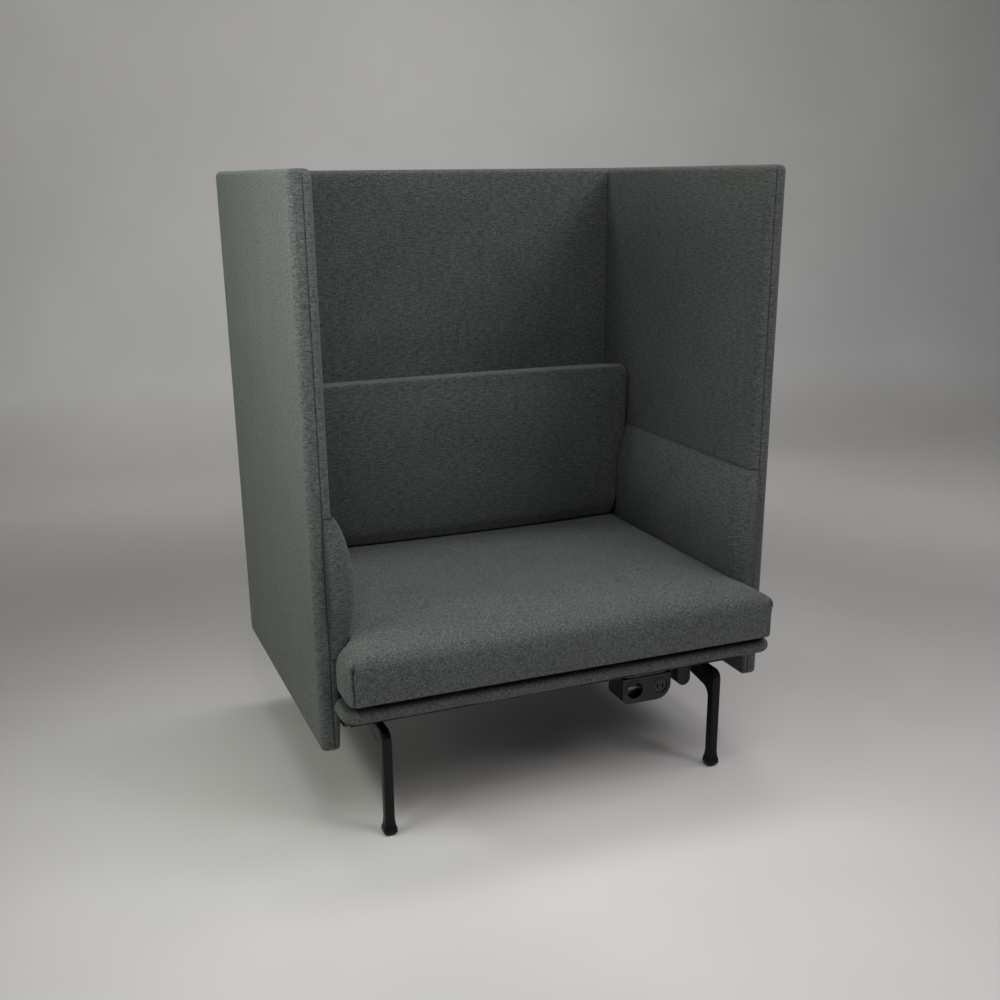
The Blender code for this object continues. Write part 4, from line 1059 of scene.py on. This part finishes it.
@dataclass
class ArmPad:
    """The padded arm on a side panel's inner face, sewn in along its top and its front."""

    side: Side
    lines: ChairLines
    wool: bpy.types.Material
    rim: float = 0.003
    bulge: float = 0.036
    front_growth: float = 0.08
    growth_from: float = 0.05
    growth_length: float = 0.25
    flap: float = 0.0175
    flap_rise: float = 0.0010
    forward: float = 0.0075
    forward_from: float = 0.40
    forward_length: float = 0.09
    front_run: float = 0.030
    edge_run: float = 0.0128
    squareness: float = 2.8
    shoulder: float = 0.0035
    rear_gap: float = 0.0006
    sunk: float = 0.004
    turn_columns: int = 22
    columns: int = 92
    rows: int = 44
    rows_from: float = 0.010
    edge_rows: tuple[float, ...] = (0.0004, 0.0012, 0.0022, 0.0035, 0.006)
    unevenness: float = 0.0008
    wave: float = 0.11
    calm_edge: float = 0.04
    seam_width: float = 0.0036
    flap_seam_width: float = 0.0016
    flap_seam_shade: float = 0.8
    low: float = field(init=False)
    high: float = field(init=False)

    def __post_init__(self) -> None:
        """Read the pad's height from its packed box."""
        low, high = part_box(f"{self.side.label}_arm_pad")
        self.low, self.high = low.z, high.z

    def thickness(self, height: np.ndarray, depth: np.ndarray | float) -> np.ndarray:
        """Return how far the pad stands proud of its panel.

        Args:
            height: The height of the place.
            depth: Its Y. The pad is a little fuller towards its front.

        Returns:
            The thickness.
        """
        middle, half = (self.low + self.high) / 2, (self.high - self.low) / 2
        share = np.clip(np.abs(height - middle) / half, 0, 1)
        fuller = 1 + self.front_growth * ease((self.growth_from - depth) / self.growth_length)
        return self.rim + (self.bulge * fuller - self.rim) * (1 - share ** 2) ** 0.85

    def _row(self, height: float) -> list[Triple]:
        """Return one row of points: from the front seam round to the pad's rear.

        Args:
            height: The row's height.

        Returns:
            The points.
        """
        lines = self.lines
        from_seam = min(height - self.low, self.high - height)
        risen = math.sqrt(max(0.0, 1 - (1 - min(1.0, from_seam / self.shoulder)) ** 2))
        proud = float(self.thickness(np.array(height), lines.panel_front)) * risen
        fullness = float(ease(np.array((proud - self.rim) / self.bulge)))
        above_seat = float(ease(np.array((height - self.forward_from) / self.forward_length)))
        ahead = self.flap_rise * risen + self.forward * fullness * above_seat
        run = self.edge_run + (self.front_run - self.edge_run) * fullness
        reach_x, reach_y = proud + self.flap, run + ahead
        power = 2.0 / (3.0 - (3.0 - self.squareness) * fullness)
        row = []
        for angle in np.linspace(math.pi / 2, 0, self.turn_columns):
            out_x = max(0.0, math.cos(angle)) ** power
            out_y = max(0.0, math.sin(angle)) ** power
            row.append((lines.inner_x + self.flap - reach_x * out_x,
                        lines.panel_front + run - reach_y * out_y, height))
        rear = lines.back_face - self.rear_gap
        for share in np.linspace(0, 1, self.columns)[1:]:
            depth = lines.panel_front + run + (rear - lines.panel_front - run) * share
            thick = float(self.thickness(np.array(height), depth)) * risen
            row.append((lines.inner_x - thick, depth, height))
        return row

    def _form(self) -> tuple[Skin, np.ndarray]:
        """Return the pad's closed form, and which of its points are on the side that shows."""
        span = np.linspace(self.low + self.rows_from, self.high - self.rows_from, self.rows)
        heights = [self.low, *(self.low + step for step in self.edge_rows), *span,
                   *(self.high - step for step in self.edge_rows[::-1]), self.high]
        outer = np.array([self._row(height) for height in heights])
        inner = outer.copy()
        inner[:, :, 0] = np.maximum(outer[:, :, 0], self.lines.inner_x + self.sunk)
        inner[:, :, 1] = np.maximum(outer[:, :, 1], self.lines.panel_front + self.sunk)
        points = np.concatenate([outer.reshape(-1, 3), inner.reshape(-1, 3)])
        number, hidden = np.arange(len(points)).reshape(2, *outer.shape[:2])
        rims = [np.stack([first[:-1], second[:-1], second[1:], first[1:]], -1)
                for first, second in ((number[0], hidden[0]), (hidden[-1], number[-1]),
                                      (hidden[:, 0], number[:, 0]), (number[:, -1], hidden[:, -1]))]
        faces = np.concatenate([sheet_faces(number.T), sheet_faces(hidden.T)[:, ::-1], *rims])
        return Skin(points, faces[:, ::-1]), np.arange(len(points)) < number.size

    def build(self) -> bpy.types.Object:
        """Build the pad and dress it."""
        skin, shown = self._form()
        depth = np.minimum(skin.points[:, 2] - self.low, self.high - skin.points[:, 2])
        from_seam = self.lines.inner_x + self.flap - skin.points[:, 0]
        calm = ease(np.minimum(depth, from_seam) / self.calm_edge)
        waves = self.unevenness * ripple(skin.points, self.wave, 21) * calm
        skin.swell(np.where(shown, waves, 0.0))
        skin.shade = np.where(shown, np.exp(-(depth / self.seam_width) ** 2), 0.0)
        flap_shade = self.flap_seam_shade * np.exp(-(from_seam / self.flap_seam_width) ** 2)
        skin.shade = np.maximum(skin.shade, flap_shade)
        skin.mirror_to(self.side)
        piece = skin.piece(f"{self.side.label}_arm_pad_fabric", self.wool)
        dress(piece, Body.CHAIR, Slot.WOOL, f"{self.side.label}_arm_pad")
        return piece


@dataclass
class Deck:
    """The thin upholstered deck with its round nose, hollow below for the frame and lip board."""

    lines: ChairLines
    wool: bpy.types.Material
    side_gap: float = 0.001
    plan_corner: float = 0.024
    rear_edge: float = 0.002
    nose_top: Triple = (0.0165, 0.0225, 0.0165)
    nose_low: float = 0.0105
    spacing: float = 0.009
    skin_thick: float = 0.012
    painted_shade_edge: float = 0.0055
    painted_shade_fade: float = 0.003
    painted_shade_strength: float = 0.85
    clearance: float = 0.0003
    widening: float = 0.019
    widening_start: float = 0.003
    widening_length: float = 0.020
    widening_rows: int = 6
    unevenness: float = 0.0005
    wave: float = 0.09
    calm_length: float = 0.03

    def _hollow(self, low: Vector, high: Vector) -> list[Ring]:
        """Return the rings of the hollow: up past the rails, and forward round the lip board.

        Args:
            low: The deck's lowest corner.
            high: Its highest corner.

        Returns:
            The rings, deepest first.
        """
        middle = (low + high) / 2
        lip_low, lip_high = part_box("lip_board")
        rail_low, rail_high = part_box("front_rail")
        side = lip_high.x + self.clearance
        rear = high.y - self.clearance
        behind_rail = rail_high.y
        ahead_of_rail = rail_low.y - self.clearance
        ahead_of_lip = lip_low.y - self.clearance
        above_lip, below_lip = lip_high.z + self.clearance, lip_low.z - self.clearance
        levels = ((high.z - self.skin_thick, behind_rail), (above_lip, behind_rail),
                  (above_lip, ahead_of_lip), (below_lip, ahead_of_lip),
                  (below_lip, ahead_of_rail), (low.z, ahead_of_rail))
        return [Ring(height - middle.z, (-side, front - middle.y), (side, rear - middle.y))
                for height, front in levels]

    def build(self) -> bpy.types.Object:
        """Build the deck's fabric and dress it."""
        low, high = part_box("deck_cover")
        half = self.lines.inner_x - self.side_gap
        start = self.lines.panel_front + self.widening_start
        last_row = self.widening_rows - 1
        block = Block(Vector((-half, low.y, low.z)), Vector((half, high.y, high.z)),
                      self.plan_corner, (self.nose_low,) * 3, self.nose_top, self.spacing,
                      turns=7, corner_turns=7, shrinking=True, rear_edge=self.rear_edge,
                      lines_y=[start - self.widening_length * row / last_row
                               for row in range(self.widening_rows)],
                      hollow=self._hollow(low, high))

        def shape(points: np.ndarray, place: np.ndarray) -> np.ndarray:
            """Return the block's points, spread in front of the side panels."""
            out = ease((start - points[:, 1]) / self.widening_length)
            moved = points.copy()
            moved[:, 0] += self.widening * out * (points[:, 0] / half) ** 5
            return moved

        skin = block.build(shape)
        ahead = ease((self.lines.panel_front - skin.points[:, 1]) / self.calm_length)
        skin.swell(self.unevenness * ripple(skin.points, self.wave, 31) * ahead)
        # Painted shade: the deck's top is darkened from just below its top edge upwards, where the
        # seat cushion overhangs it.
        above_edge = skin.points[:, 2] - high.z + self.painted_shade_edge
        skin.shade = self.painted_shade_strength * ease(above_edge / self.painted_shade_fade)
        skin.even_grain = 1.0
        piece = skin.piece("deck_fabric", self.wool)
        dress(piece, Body.CHAIR, Slot.WOOL, "deck_cover")
        return piece


@dataclass
class SeatCushion:
    """The loose seat cushion: broad and full, sewn up its front corners, with painted shade below.
    """

    lines: ChairLines
    pad: ArmPad
    wool: bpy.types.Material
    side_gap: float = 0.0045
    pad_gap: float = 0.0015
    edge_height: float = 0.1065
    crown: float = 0.0060
    corner: float = 0.014
    side_roll: float = 0.024
    front_roll: float = 0.038
    roll_height: float = 0.030
    under_side: float = 0.016
    under_front: float = 0.028
    under_rise: float = 0.0120
    draw: float = 0.003
    widening: float = 0.017
    corner_widening: float = 0.62
    corner_point: float = 0.0040
    widening_start: float = 0.003
    widening_length: float = 0.020
    front_depth: float = 0.032
    front_fade: float = 0.022
    top_narrowing: float = 0.30
    top_from: float = 0.66
    seam_low: float = 0.3105
    seam_high: float = 0.3870
    seam_out: float = 0.0155
    seam_ahead: float = 0.009
    seam_width: float = 0.0042
    seam_depth: float = 0.0032
    seam_lip: float = 0.0006
    point_radius: float = 0.018
    seam_end_radius: float = 0.0065
    seam_end_depth: float = 0.0040
    crease_inset: float = 0.006
    crease_width: float = 0.0040
    crease_depth: float = 0.0016
    crease_shade: float = 0.35
    creases: tuple[tuple[float, float], ...] = ((0.3840, 0.011), (0.3225, 0.012))
    most_swell: float = 0.0065
    held_above: float = 0.006
    held_fade: float = 0.010
    spacing: float = 0.007
    painted_shade_below: float = 0.0015
    painted_shade_fade: float = 0.004
    painted_shade_strength: float = 0.9
    panel_gap: float = 0.0012
    back_gap: float = 0.0015
    top_gap: float = 0.0006
    free_length: float = 0.020
    free_width: float = 0.002
    free_rise: float = 0.016
    free_rise_length: float = 0.055

    def _shape(self, low: Vector, high: Vector) -> Shape:
        """Return the function that gives the block its crown, swell and drawn-in seams."""
        lines = self.lines
        middle_y = (low.y + high.y) / 2
        start = lines.panel_front + self.widening_start

        def shape(points: np.ndarray, place: np.ndarray) -> np.ndarray:
            """Return where the block's points go."""
            moved = points.copy()
            lift = (place[:, 2] + 1) / 2
            taut = np.where(place[:, 2] < 0, place[:, 2] ** 6, place[:, 2] ** 2)
            out = ease((start - points[:, 1]) / self.widening_length)
            fifth_x, fifth_y = place[:, 0] ** 5, place[:, 1] ** 5
            moved[:, 0] -= self.draw * taut * (1 - place[:, 1] ** 2) * fifth_x
            at_front = ease((low.y + self.front_depth - points[:, 1]) / self.front_fade)
            near_top = ease((place[:, 2] - self.top_from) / 0.34)
            plain = self.corner_widening - self.top_narrowing * near_top
            share = (1 - taut) * (1 - at_front) + plain * at_front
            moved[:, 0] += self.widening * out * share * fifth_x
            moved[:, 1] -= self.draw * taut * (1 - place[:, 0] ** 2) * fifth_y
            across = np.clip(np.abs(moved[:, 0]) / (lines.inner_x - self.side_gap), 0, 1)
            ahead = np.clip((middle_y - moved[:, 1]) / (middle_y - low.y), 0, 1)
            full = (1 - across ** CROWN_POWER) * (1 - ahead ** CROWN_POWER)
            moved[:, 2] += self.crown * full * lift ** 1.5
            return moved

        return shape

    def keep_clear(self, points: np.ndarray) -> np.ndarray:
        """Return points held clear of the deck, the panels and the arm pads."""
        lines = self.lines
        low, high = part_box("seat_cushion")
        back_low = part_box("back_cushion")[0]
        kept = points.copy()
        room = np.full(len(kept), lines.inner_x - self.panel_gap)
        beside_pad = kept[:, 2] > self.pad.low
        padding = self.pad.thickness(kept[beside_pad, 2], lines.panel_front)
        room[beside_pad] = lines.inner_x - padding - self.pad_gap
        free = ease((lines.panel_front - 0.001 - kept[:, 1]) / self.free_length)
        room = room + (high.x + self.free_width - room) * free
        kept[:, 0] = np.clip(kept[:, 0], -room, room)
        kept[:, 1] = np.minimum(kept[:, 1], lines.back_face - self.back_gap)
        free_top = ease((back_low.y - 0.002 - kept[:, 1]) / self.free_rise_length)
        kept[:, 2] = np.clip(kept[:, 2], low.z,
                             back_low.z - self.top_gap + self.free_rise * free_top)
        return kept

    def build(self) -> bpy.types.Object:
        """Build the cushion and dress it."""
        low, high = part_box("seat_cushion")
        half = self.lines.inner_x - self.side_gap
        top = low.z + self.edge_height
        block = Block(Vector((-half, low.y, low.z)), Vector((half, high.y, top)), self.corner,
                      (self.under_side, self.under_front, self.under_rise),
                      (self.side_roll, self.front_roll, self.roll_height), self.spacing,
                      turns=7, corner_turns=10, slanted=True)
        skin = block.build(self._shape(low, high))
        below = low.z + self.under_rise + self.held_above - skin.points[:, 2]
        skin.inflate(ease(below / self.held_fade), self.most_swell)
        self._sew(skin, low, half)
        # Painted shade: the cushion's slanted underside is darkened, where it sits over the deck.
        below = low.z + self.under_rise - self.painted_shade_below - skin.points[:, 2]
        underside_painted_shade = self.painted_shade_strength * ease(below / self.painted_shade_fade)
        skin.shade = np.maximum(skin.shade, underside_painted_shade)
        skin.even_grain = 1.0
        skin.points = self.keep_clear(skin.points)
        piece = skin.piece("seat_cushion_fabric", self.wool)
        dress(piece, Body.SEAT, Slot.WOOL, "seat_cushion")
        return piece

    def _sew(self, skin: Skin, low: Vector, half: float) -> None:
        """Draw in the seams at the front corners, with small creases beside their ends.

        Args:
            skin: The cushion.
            low: Its lowest corner.
            half: Half its width behind the widened front.
        """
        seam_x, seam_y = half + self.seam_out, low.y - self.seam_ahead
        heights = np.linspace(self.seam_low, self.seam_high, 9)
        for way in (-1, 1):
            corner = skin.nearest((way * seam_x, seam_y, self.seam_high))
            skin.dimple(corner, self.point_radius, -self.corner_point)
            upright = np.array([skin.nearest((way * seam_x, seam_y, z)) for z in heights])
            skin.seam(upright, self.seam_width, self.seam_depth, self.seam_lip)
            # The dimple at the seam's end gets a small dot of painted shade.
            skin.dimple(skin.nearest(upright[-1]), self.seam_end_radius, self.seam_end_depth, 1.0)
            for z, length in self.creases:
                places = [way * (seam_x - self.crease_inset - share * length)
                          for share in (0.0, 0.5, 1.0)]
                crease = np.array([skin.nearest((x, seam_y, z)) for x in places])
                skin.seam(crease, self.crease_width, self.crease_depth, 0.0, self.crease_shade)


@dataclass
class BackCushion:
    """The loose back cushion: swelled in front, its ends drawn in where the arm pads press."""

    lines: ChairLines
    pad: ArmPad
    wool: bpy.types.Material
    side_gap: float = 0.0045
    crown: float = 0.034
    low_crown: float = 0.5
    corner: float = 0.024
    front_roll: float = 0.020
    top_roll: float = 0.0055
    rear_roll: float = 0.018
    rise: float = 0.0085
    lean: float = 0.0165
    height: float = 0.352
    thick: float = 0.138
    heel: float = 0.014
    heel_height: float = 0.34
    narrowing: float = 0.020
    most_swell: float = 0.0065
    held_below: float = 0.016
    held_fade: float = 0.012
    spacing: float = 0.008
    pad_gap: float = 0.0035
    back_gap: float = 0.0006
    pad_fade: float = 0.020

    def build(self) -> bpy.types.Object:
        """Build the cushion and dress it."""
        low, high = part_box("back_cushion")
        half = self.lines.inner_x - self.side_gap
        corner = Vector((half, self.height / 2, self.thick / 2))
        block = Block(-corner, corner, self.corner, (self.rear_roll,) * 3,
                      (self.front_roll, self.top_roll, self.front_roll), self.spacing)

        def shape(points: np.ndarray, place: np.ndarray) -> np.ndarray:
            """Return where the block's points go: its depth is laid to the rear."""
            front = (place[:, 2] + 1) / 2
            upright = 1 - (1 - self.low_crown) * np.abs(place[:, 1]) ** CROWN_POWER
            full = (1 - np.abs(place[:, 0]) ** CROWN_POWER) * upright
            swell = self.crown * full * front ** 1.5
            heel = ease((-place[:, 1] - 1 + self.heel_height) / self.heel_height) ** 1.5
            share = (place[:, 1] + 1) / 2
            depth = points[:, 2] + self.thick / 2
            moved = np.stack([points[:, 0] - self.narrowing * heel * place[:, 0] ** 3,
                              high.y - depth - swell + self.heel * heel * front,
                              low.z + points[:, 1] + self.height / 2], axis=-1)
            moved[:, 2] += (self.lean + self.rise * (1 - place[:, 0] ** 2)) * share ** 4 * front
            return moved

        skin = block.build(shape)
        above = skin.points[:, 2] - low.z - self.height + self.held_below
        skin.inflate(ease(above / self.held_fade), self.most_swell)
        skin.points = self.keep_clear(skin.points)
        piece = skin.piece("back_cushion_fabric", self.wool)
        dress(piece, Body.BACK, Slot.WOOL, "back_cushion")
        return piece

    def keep_clear(self, points: np.ndarray) -> np.ndarray:
        """Return points held clear of the seat cushion, the panels and the arm pads."""
        lines = self.lines
        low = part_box("back_cushion")[0]
        kept = points.copy()
        pad_middle = (self.pad.low + self.pad.high) / 2
        press = self.pad.thickness(np.maximum(kept[:, 2], pad_middle), kept[:, 1])
        above = kept[:, 2] > self.pad.high
        press[above] = self.pad.rim * np.clip(
            1 - (kept[above, 2] - self.pad.high) / self.pad_fade, 0, 1)
        room = lines.inner_x - press - self.pad_gap
        kept[:, 0] = np.clip(kept[:, 0], -room, room)
        kept[:, 1] = np.minimum(kept[:, 1], lines.back_face - self.back_gap)
        kept[:, 2] = np.maximum(kept[:, 2], low.z)
        return kept


@dataclass
class SideChannel:
    """A steel channel between the frame and a side panel, its front end mitred and closed."""

    side: Side
    steel: bpy.types.Material
    wall: float = 0.003
    mitre: float = 0.030
    edge: float = 0.0009

    def build(self) -> bpy.types.Object:
        """Build the channel and dress it."""
        name = f"{self.side.label}_channel"
        low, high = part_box(name)
        outer = [(low.x, low.z), (high.x, low.z), (high.x, high.z), (low.x, high.z)]
        inner = [(low.x + self.wall, low.z), (high.x - self.wall, low.z),
                 (high.x - self.wall, high.z - self.wall), (low.x + self.wall, high.z - self.wall)]

        def front(z: float, behind: float) -> float:
            """Return where the mitred end lies at a height."""
            return low.y + behind + self.mitre * (high.z - z) / (high.z - low.z)

        points = []
        for outline, wall in ((outer, 0.0), (inner, self.wall)):
            points += [(x, front(z, wall), z) for x, z in outline]
            points += [(x, high.y, z) for x, z in outline]
        faces = [(0, 1, 2, 3), (1, 5, 6, 2), (2, 6, 7, 3), (3, 7, 4, 0),
                 (9, 8, 11, 10), (10, 14, 13, 9), (11, 15, 14, 10), (8, 12, 15, 11),
                 (0, 4, 12, 8), (1, 9, 13, 5), (0, 8, 9, 1), (4, 7, 6, 5, 13, 14, 15, 12)]
        mesh = bpy.data.meshes.new(f"{name}_steel")
        mesh.from_pydata(points, [], faces)
        shape = bmesh.new()
        shape.from_mesh(mesh)
        bmesh.ops.recalc_face_normals(shape, faces=shape.faces)
        bmesh.ops.bevel(shape, geom=shape.edges[:], offset=self.edge, segments=2, profile=0.5,
                        affect="EDGES", clamp_overlap=True)
        shape.to_mesh(mesh)
        shape.free()
        mesh.materials.append(self.steel)
        LOG.info("%s: %d faces", mesh.name, len(mesh.polygons))
        return dress(put_in_scene(mesh.name, mesh), Body.CHAIR, Slot.BLACK_STEEL, name)


@dataclass
class DustCloth:
    """The thin cloth that closes the frame from below, stretched between the rails."""

    felt: bpy.types.Material
    sag: float = 0.0030
    pucker: float = 0.0007
    pucker_length: float = 0.030
    corner: float = 0.003
    spacing: float = 0.011

    def build(self) -> bpy.types.Object:
        """Build the cloth and dress it."""
        low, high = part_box("dust_cover")
        roll = ((high.z - low.z) * 0.4,) * 3

        def shape(points: np.ndarray, place: np.ndarray) -> np.ndarray:
            """Return the cloth's points, sagging, with small puckers along its edges."""
            across, along = np.abs(place[:, 0]), np.abs(place[:, 1])
            edge = np.maximum(across, along) ** 8 * (1 - np.maximum(across, along) ** 30)
            moved = points.copy()
            moved[:, 2] -= self.sag * (1 - across ** 2) * (1 - along ** 2)
            moved[:, 2] += self.pucker * edge * ripple(points, self.pucker_length, 41)
            return moved

        block = Block(low, high, self.corner, roll, roll, self.spacing, turns=2, corner_turns=2)
        piece = block.build(shape).piece("dust_cloth_sheet", self.felt)
        dress(piece, Body.CHAIR, Slot.DUST_CLOTH, "dust_cover")
        return piece


@dataclass
class ChargerRing:
    """The raised glossy ring round the charger's face."""

    plastic: bpy.types.Material
    thick: float = 0.0011
    proud: float = 0.0009
    steps: int = 72
    turns: int = 12

    def build(self) -> bpy.types.Object:
        """Build the ring and dress it."""
        low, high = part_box("charger_module")
        middle = (low + high) / 2
        radius = (high.x - low.x) / 2 - self.thick
        turn, tube = np.meshgrid(np.linspace(0, math.tau, self.steps, endpoint=False),
                                 np.linspace(0, math.tau, self.turns, endpoint=False),
                                 indexing="ij")
        reach = radius + self.thick * np.cos(tube)
        points = np.stack([middle.x + reach * np.cos(turn), low.y - self.proud * np.sin(tube),
                           middle.z + reach * np.sin(turn)], axis=-1).reshape(-1, 3)
        number = np.arange(len(points)).reshape(self.steps, self.turns)
        faces = sheet_faces(np.pad(number, ((0, 1), (0, 1)), mode="wrap"))
        piece = Skin(points, faces).piece("charger_ring", self.plastic)
        return dress(piece, Body.CHAIR, Slot.GLOSS_PLASTIC)


@dataclass
class PackedParts:
    """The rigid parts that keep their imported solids: they get finishes, and soft edges."""

    finishes: dict[Slot, bpy.types.Material]
    edges: dict[str, float] = field(default_factory=lambda: {
        "power_housing": 0.0018, "power_bezel": 0.0011, "power_inlet": 0.0015,
        "socket_insert": 0.0006, "charger_module": 0.0006, "earth_contact": 0.0002,
        "front_rail": 0.0012, "rear_rail": 0.0012, "left_rail": 0.0012, "right_rail": 0.0012,
        "power_hanger": 0.0005})
    sharpest: float = math.radians(40)

    def dress(self) -> None:
        """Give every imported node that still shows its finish."""
        slots = {item["node"]: item["material_slot"] for item in frame["record"]["subparts"]}
        for name, node in sorted(frame["nodes"].items()):
            if node.hide_render:
                continue
            for slot in node.material_slots:
                slot.material = self.finishes[Slot(slots[name])]
            if name in self.edges:
                rounding = node.modifiers.new("soft_edge", "BEVEL")
                rounding.width = self.edges[name]
                rounding.segments = 2
                rounding.limit_method = "ANGLE"
                rounding.angle_limit = self.sharpest
            LOG.info("%s: %s", name, slots[name])


@dataclass(frozen=True)
class Lamp:
    """A soft rectangular lamp, which no camera sees."""

    name: str
    place: Triple
    target: Triple
    size: tuple[float, float]
    power: float
    colour: Colour = (1.0, 0.99, 0.98)

    def hang(self) -> None:
        """Hang the lamp so that it faces its target."""
        data = bpy.data.lights.new(self.name, "AREA")
        data.shape = "RECTANGLE"
        data.size, data.size_y = self.size
        data.energy = self.power
        data.color = self.colour
        lamp = put_in_scene(self.name, data)
        lamp.location = self.place
        way = Vector(self.target) - Vector(self.place)
        lamp.rotation_euler = way.to_track_quat("-Z", "Y").to_euler()
        lamp.visible_camera = False


@dataclass
class Studio:
    """The pale floor that curves up into a backdrop, the lamps, and the camera."""

    azimuth: float = 21.766
    elevation: float = -18.132
    roll: float = -0.642
    place: Triple = (-0.9078, -2.2556, 1.2056)
    lens: float = 42.427
    sensor: float = 36.0
    shift: tuple[float, float] = (0.0052, 0.0615)
    floor_half: float = 8.0
    floor_front: float = -7.0
    wall_distance: float = 2.7
    wall_radius: float = 1.1
    wall_top: float = 6.0
    floor_near: Colour = (0.755, 0.730, 0.724)
    floor_painted_shade: Colour = (0.41, 0.397, 0.392)
    floor_far: Colour = (0.68, 0.665, 0.650)
    floor_middle: Triple = (-0.25, -0.85, 0.0)
    wall_colour: Colour = (0.80, 0.79, 0.785)
    behind: tuple[float, float] = (0.4, 2.1)
    far: tuple[float, float] = (2.2, 3.6)
    wall: tuple[float, float] = (0.0, 0.3)
    haze: tuple[float, float] = (0.96, 1.04)
    paper_roughness: float = 0.62
    paper_specular: float = 0.3
    ambient: float = 0.04
    ambient_colour: Colour = (0.86, 0.93, 1.0)
    lamps: tuple[Lamp, ...] = (
        Lamp("front_ceiling", (0.0, -1.6, 3.0), (0.0, -0.4, 0.0), (1.6, 1.0), 19),
        Lamp("rear_ceiling", (0.2, 0.7, 3.1), (0.0, 0.1, 0.0), (2.0, 0.8), 24),
        Lamp("right_ceiling", (1.9, -0.8, 2.9), (0.0, -0.2, 0.0), (1.0, 1.6), 20,
             (0.97, 0.99, 1.0)),
        Lamp("front_right", (1.7, -2.3, 2.6), (0.0, -0.3, 0.3), (1.0, 1.0), 22),
        Lamp("front_window", (-2.3, -1.25, 1.0), (-0.45, -0.3, 0.9), (0.7, 0.5), 6,
             (0.98, 1.0, 0.96)),
        Lamp("side_window", (-1.3, -0.25, 1.25), (-0.45, 0.0, 1.15), (0.8, 0.25), 9,
             (0.94, 1.0, 0.87)),
        Lamp("edge_light", (-0.64, -0.80, 1.25), (-0.455, -0.30, 1.05), (0.15, 0.6), 1.7,
             (0.94, 0.97, 1.0)),
        Lamp("wall_wash", (-0.2, 1.1, 3.3), (1.0, 3.6, 1.7), (3.4, 0.6), 21, (1.0, 0.985, 0.98)),
    )

    def build(self) -> None:
        """Build the floor, light the chair and place the camera."""
        self._floor()
        self._light()
        self._camera()

    def _paper(self) -> bpy.types.Material:
        """Return the floor's paper: pale near the camera, with painted shade darkening it round and
        behind the chair.
        """
        board = Board("studio_paper", self.floor_near)
        place = board.place()
        haze = board.ramp(board.noise(place, 1.2, 3.0), 0.3, 0.7, *self.haze)
        away = board.node("ShaderNodeVectorMath", {"operation": "DISTANCE"},
                          {0: place, 1: self.floor_middle})["Value"]
        height = board.axes(place)["Z"]
        # Painted shade: the floor darkens in a ring round the chair and behind it, and pales again
        # far off.
        colour = board.mix(board.ramp(away, *self.behind), self.floor_near, self.floor_painted_shade)
        colour = board.mix(board.ramp(away, *self.far), colour, self.floor_far)
        colour = board.mix(board.ramp(height, *self.wall), colour, self.wall_colour)
        return board.principled({"Base Color": board.scaled(colour, haze),
                                 "Roughness": self.paper_roughness,
                                 "Specular IOR Level": self.paper_specular})

    def _floor(self) -> None:
        """Build the floor and backdrop as one swept sheet."""
        profile = [(self.floor_front, 0.0)]
        for angle in np.linspace(0, math.pi / 2, 24):
            profile.append((self.wall_distance + self.wall_radius * math.sin(angle),
                            self.wall_radius * (1 - math.cos(angle))))
        profile.append((self.wall_distance + self.wall_radius, self.wall_top))
        points = [(x, y, z) for x in (-self.floor_half, self.floor_half) for y, z in profile]
        number = np.arange(len(points)).reshape(2, -1)
        mesh = bpy.data.meshes.new("studio_floor")
        mesh.from_pydata(points, [], sheet_faces(number).tolist())
        mesh.shade_smooth()
        mesh.materials.append(self._paper())
        floor = put_in_scene("studio_floor", mesh)
        floor.rotation_euler = (0, 0, -math.radians(self.azimuth * 0.6))

    def _light(self) -> None:
        """Light the studio softly: lamps in the ceiling, and windows low at the left."""
        world = bpy.data.worlds.new("studio")
        world.use_nodes = True
        background = world.node_tree.nodes["Background"].inputs
        background["Color"].default_value = (*self.ambient_colour, 1.0)
        background["Strength"].default_value = self.ambient
        bpy.context.scene.world = world
        for lamp in self.lamps:
            lamp.hang()

    def _camera(self) -> None:
        """Place the camera at the photograph's viewpoint."""
        turn, tilt, bank = (math.radians(angle)
                            for angle in (self.azimuth, self.elevation, self.roll))
        ahead = Vector((math.sin(turn) * math.cos(tilt), math.cos(turn) * math.cos(tilt),
                        math.sin(tilt)))
        level = ahead.cross(Vector((0, 0, 1))).normalized()
        upright = level.cross(ahead)
        right = level * math.cos(bank) + upright * math.sin(bank)
        up = right.cross(ahead)
        data = bpy.data.cameras.new("camera")
        data.sensor_width = self.sensor
        data.lens = self.lens
        data.shift_x, data.shift_y = self.shift
        camera = put_in_scene("camera", data)
        turned = Matrix((right, up, -ahead)).transposed().to_4x4()
        camera.matrix_world = Matrix.Translation(self.place) @ turned
        bpy.context.scene.camera = camera


def main() -> None:
    """Build every sub-assembly in order."""
    logging.basicConfig(level=logging.INFO, format="%(message)s")
    bpy.context.scene.view_settings.view_transform = "Standard"
    finishes = {slot: finish.make() for slot, finish in FINISHES.items()}
    wool = finishes[Slot.WOOL]
    lines = ChairLines()
    Studio().build()
    pads = {side: ArmPad(side, lines, wool) for side in Side}
    for side in Side:
        SidePanel(side, lines, wool).build()
        pads[side].build()
    BackPanel(lines, wool).build()
    Deck(lines, wool).build()
    SeatCushion(lines, pads[Side.RIGHT], wool).build()
    BackCushion(lines, pads[Side.RIGHT], wool).build()
    for side in Side:
        SideChannel(side, finishes[Slot.BLACK_STEEL]).build()
    DustCloth(finishes[Slot.DUST_CLOTH]).build()
    ChargerRing(finishes[Slot.GLOSS_PLASTIC]).build()
    PackedParts(finishes).dress()


if __name__ == "__main__":
    main()
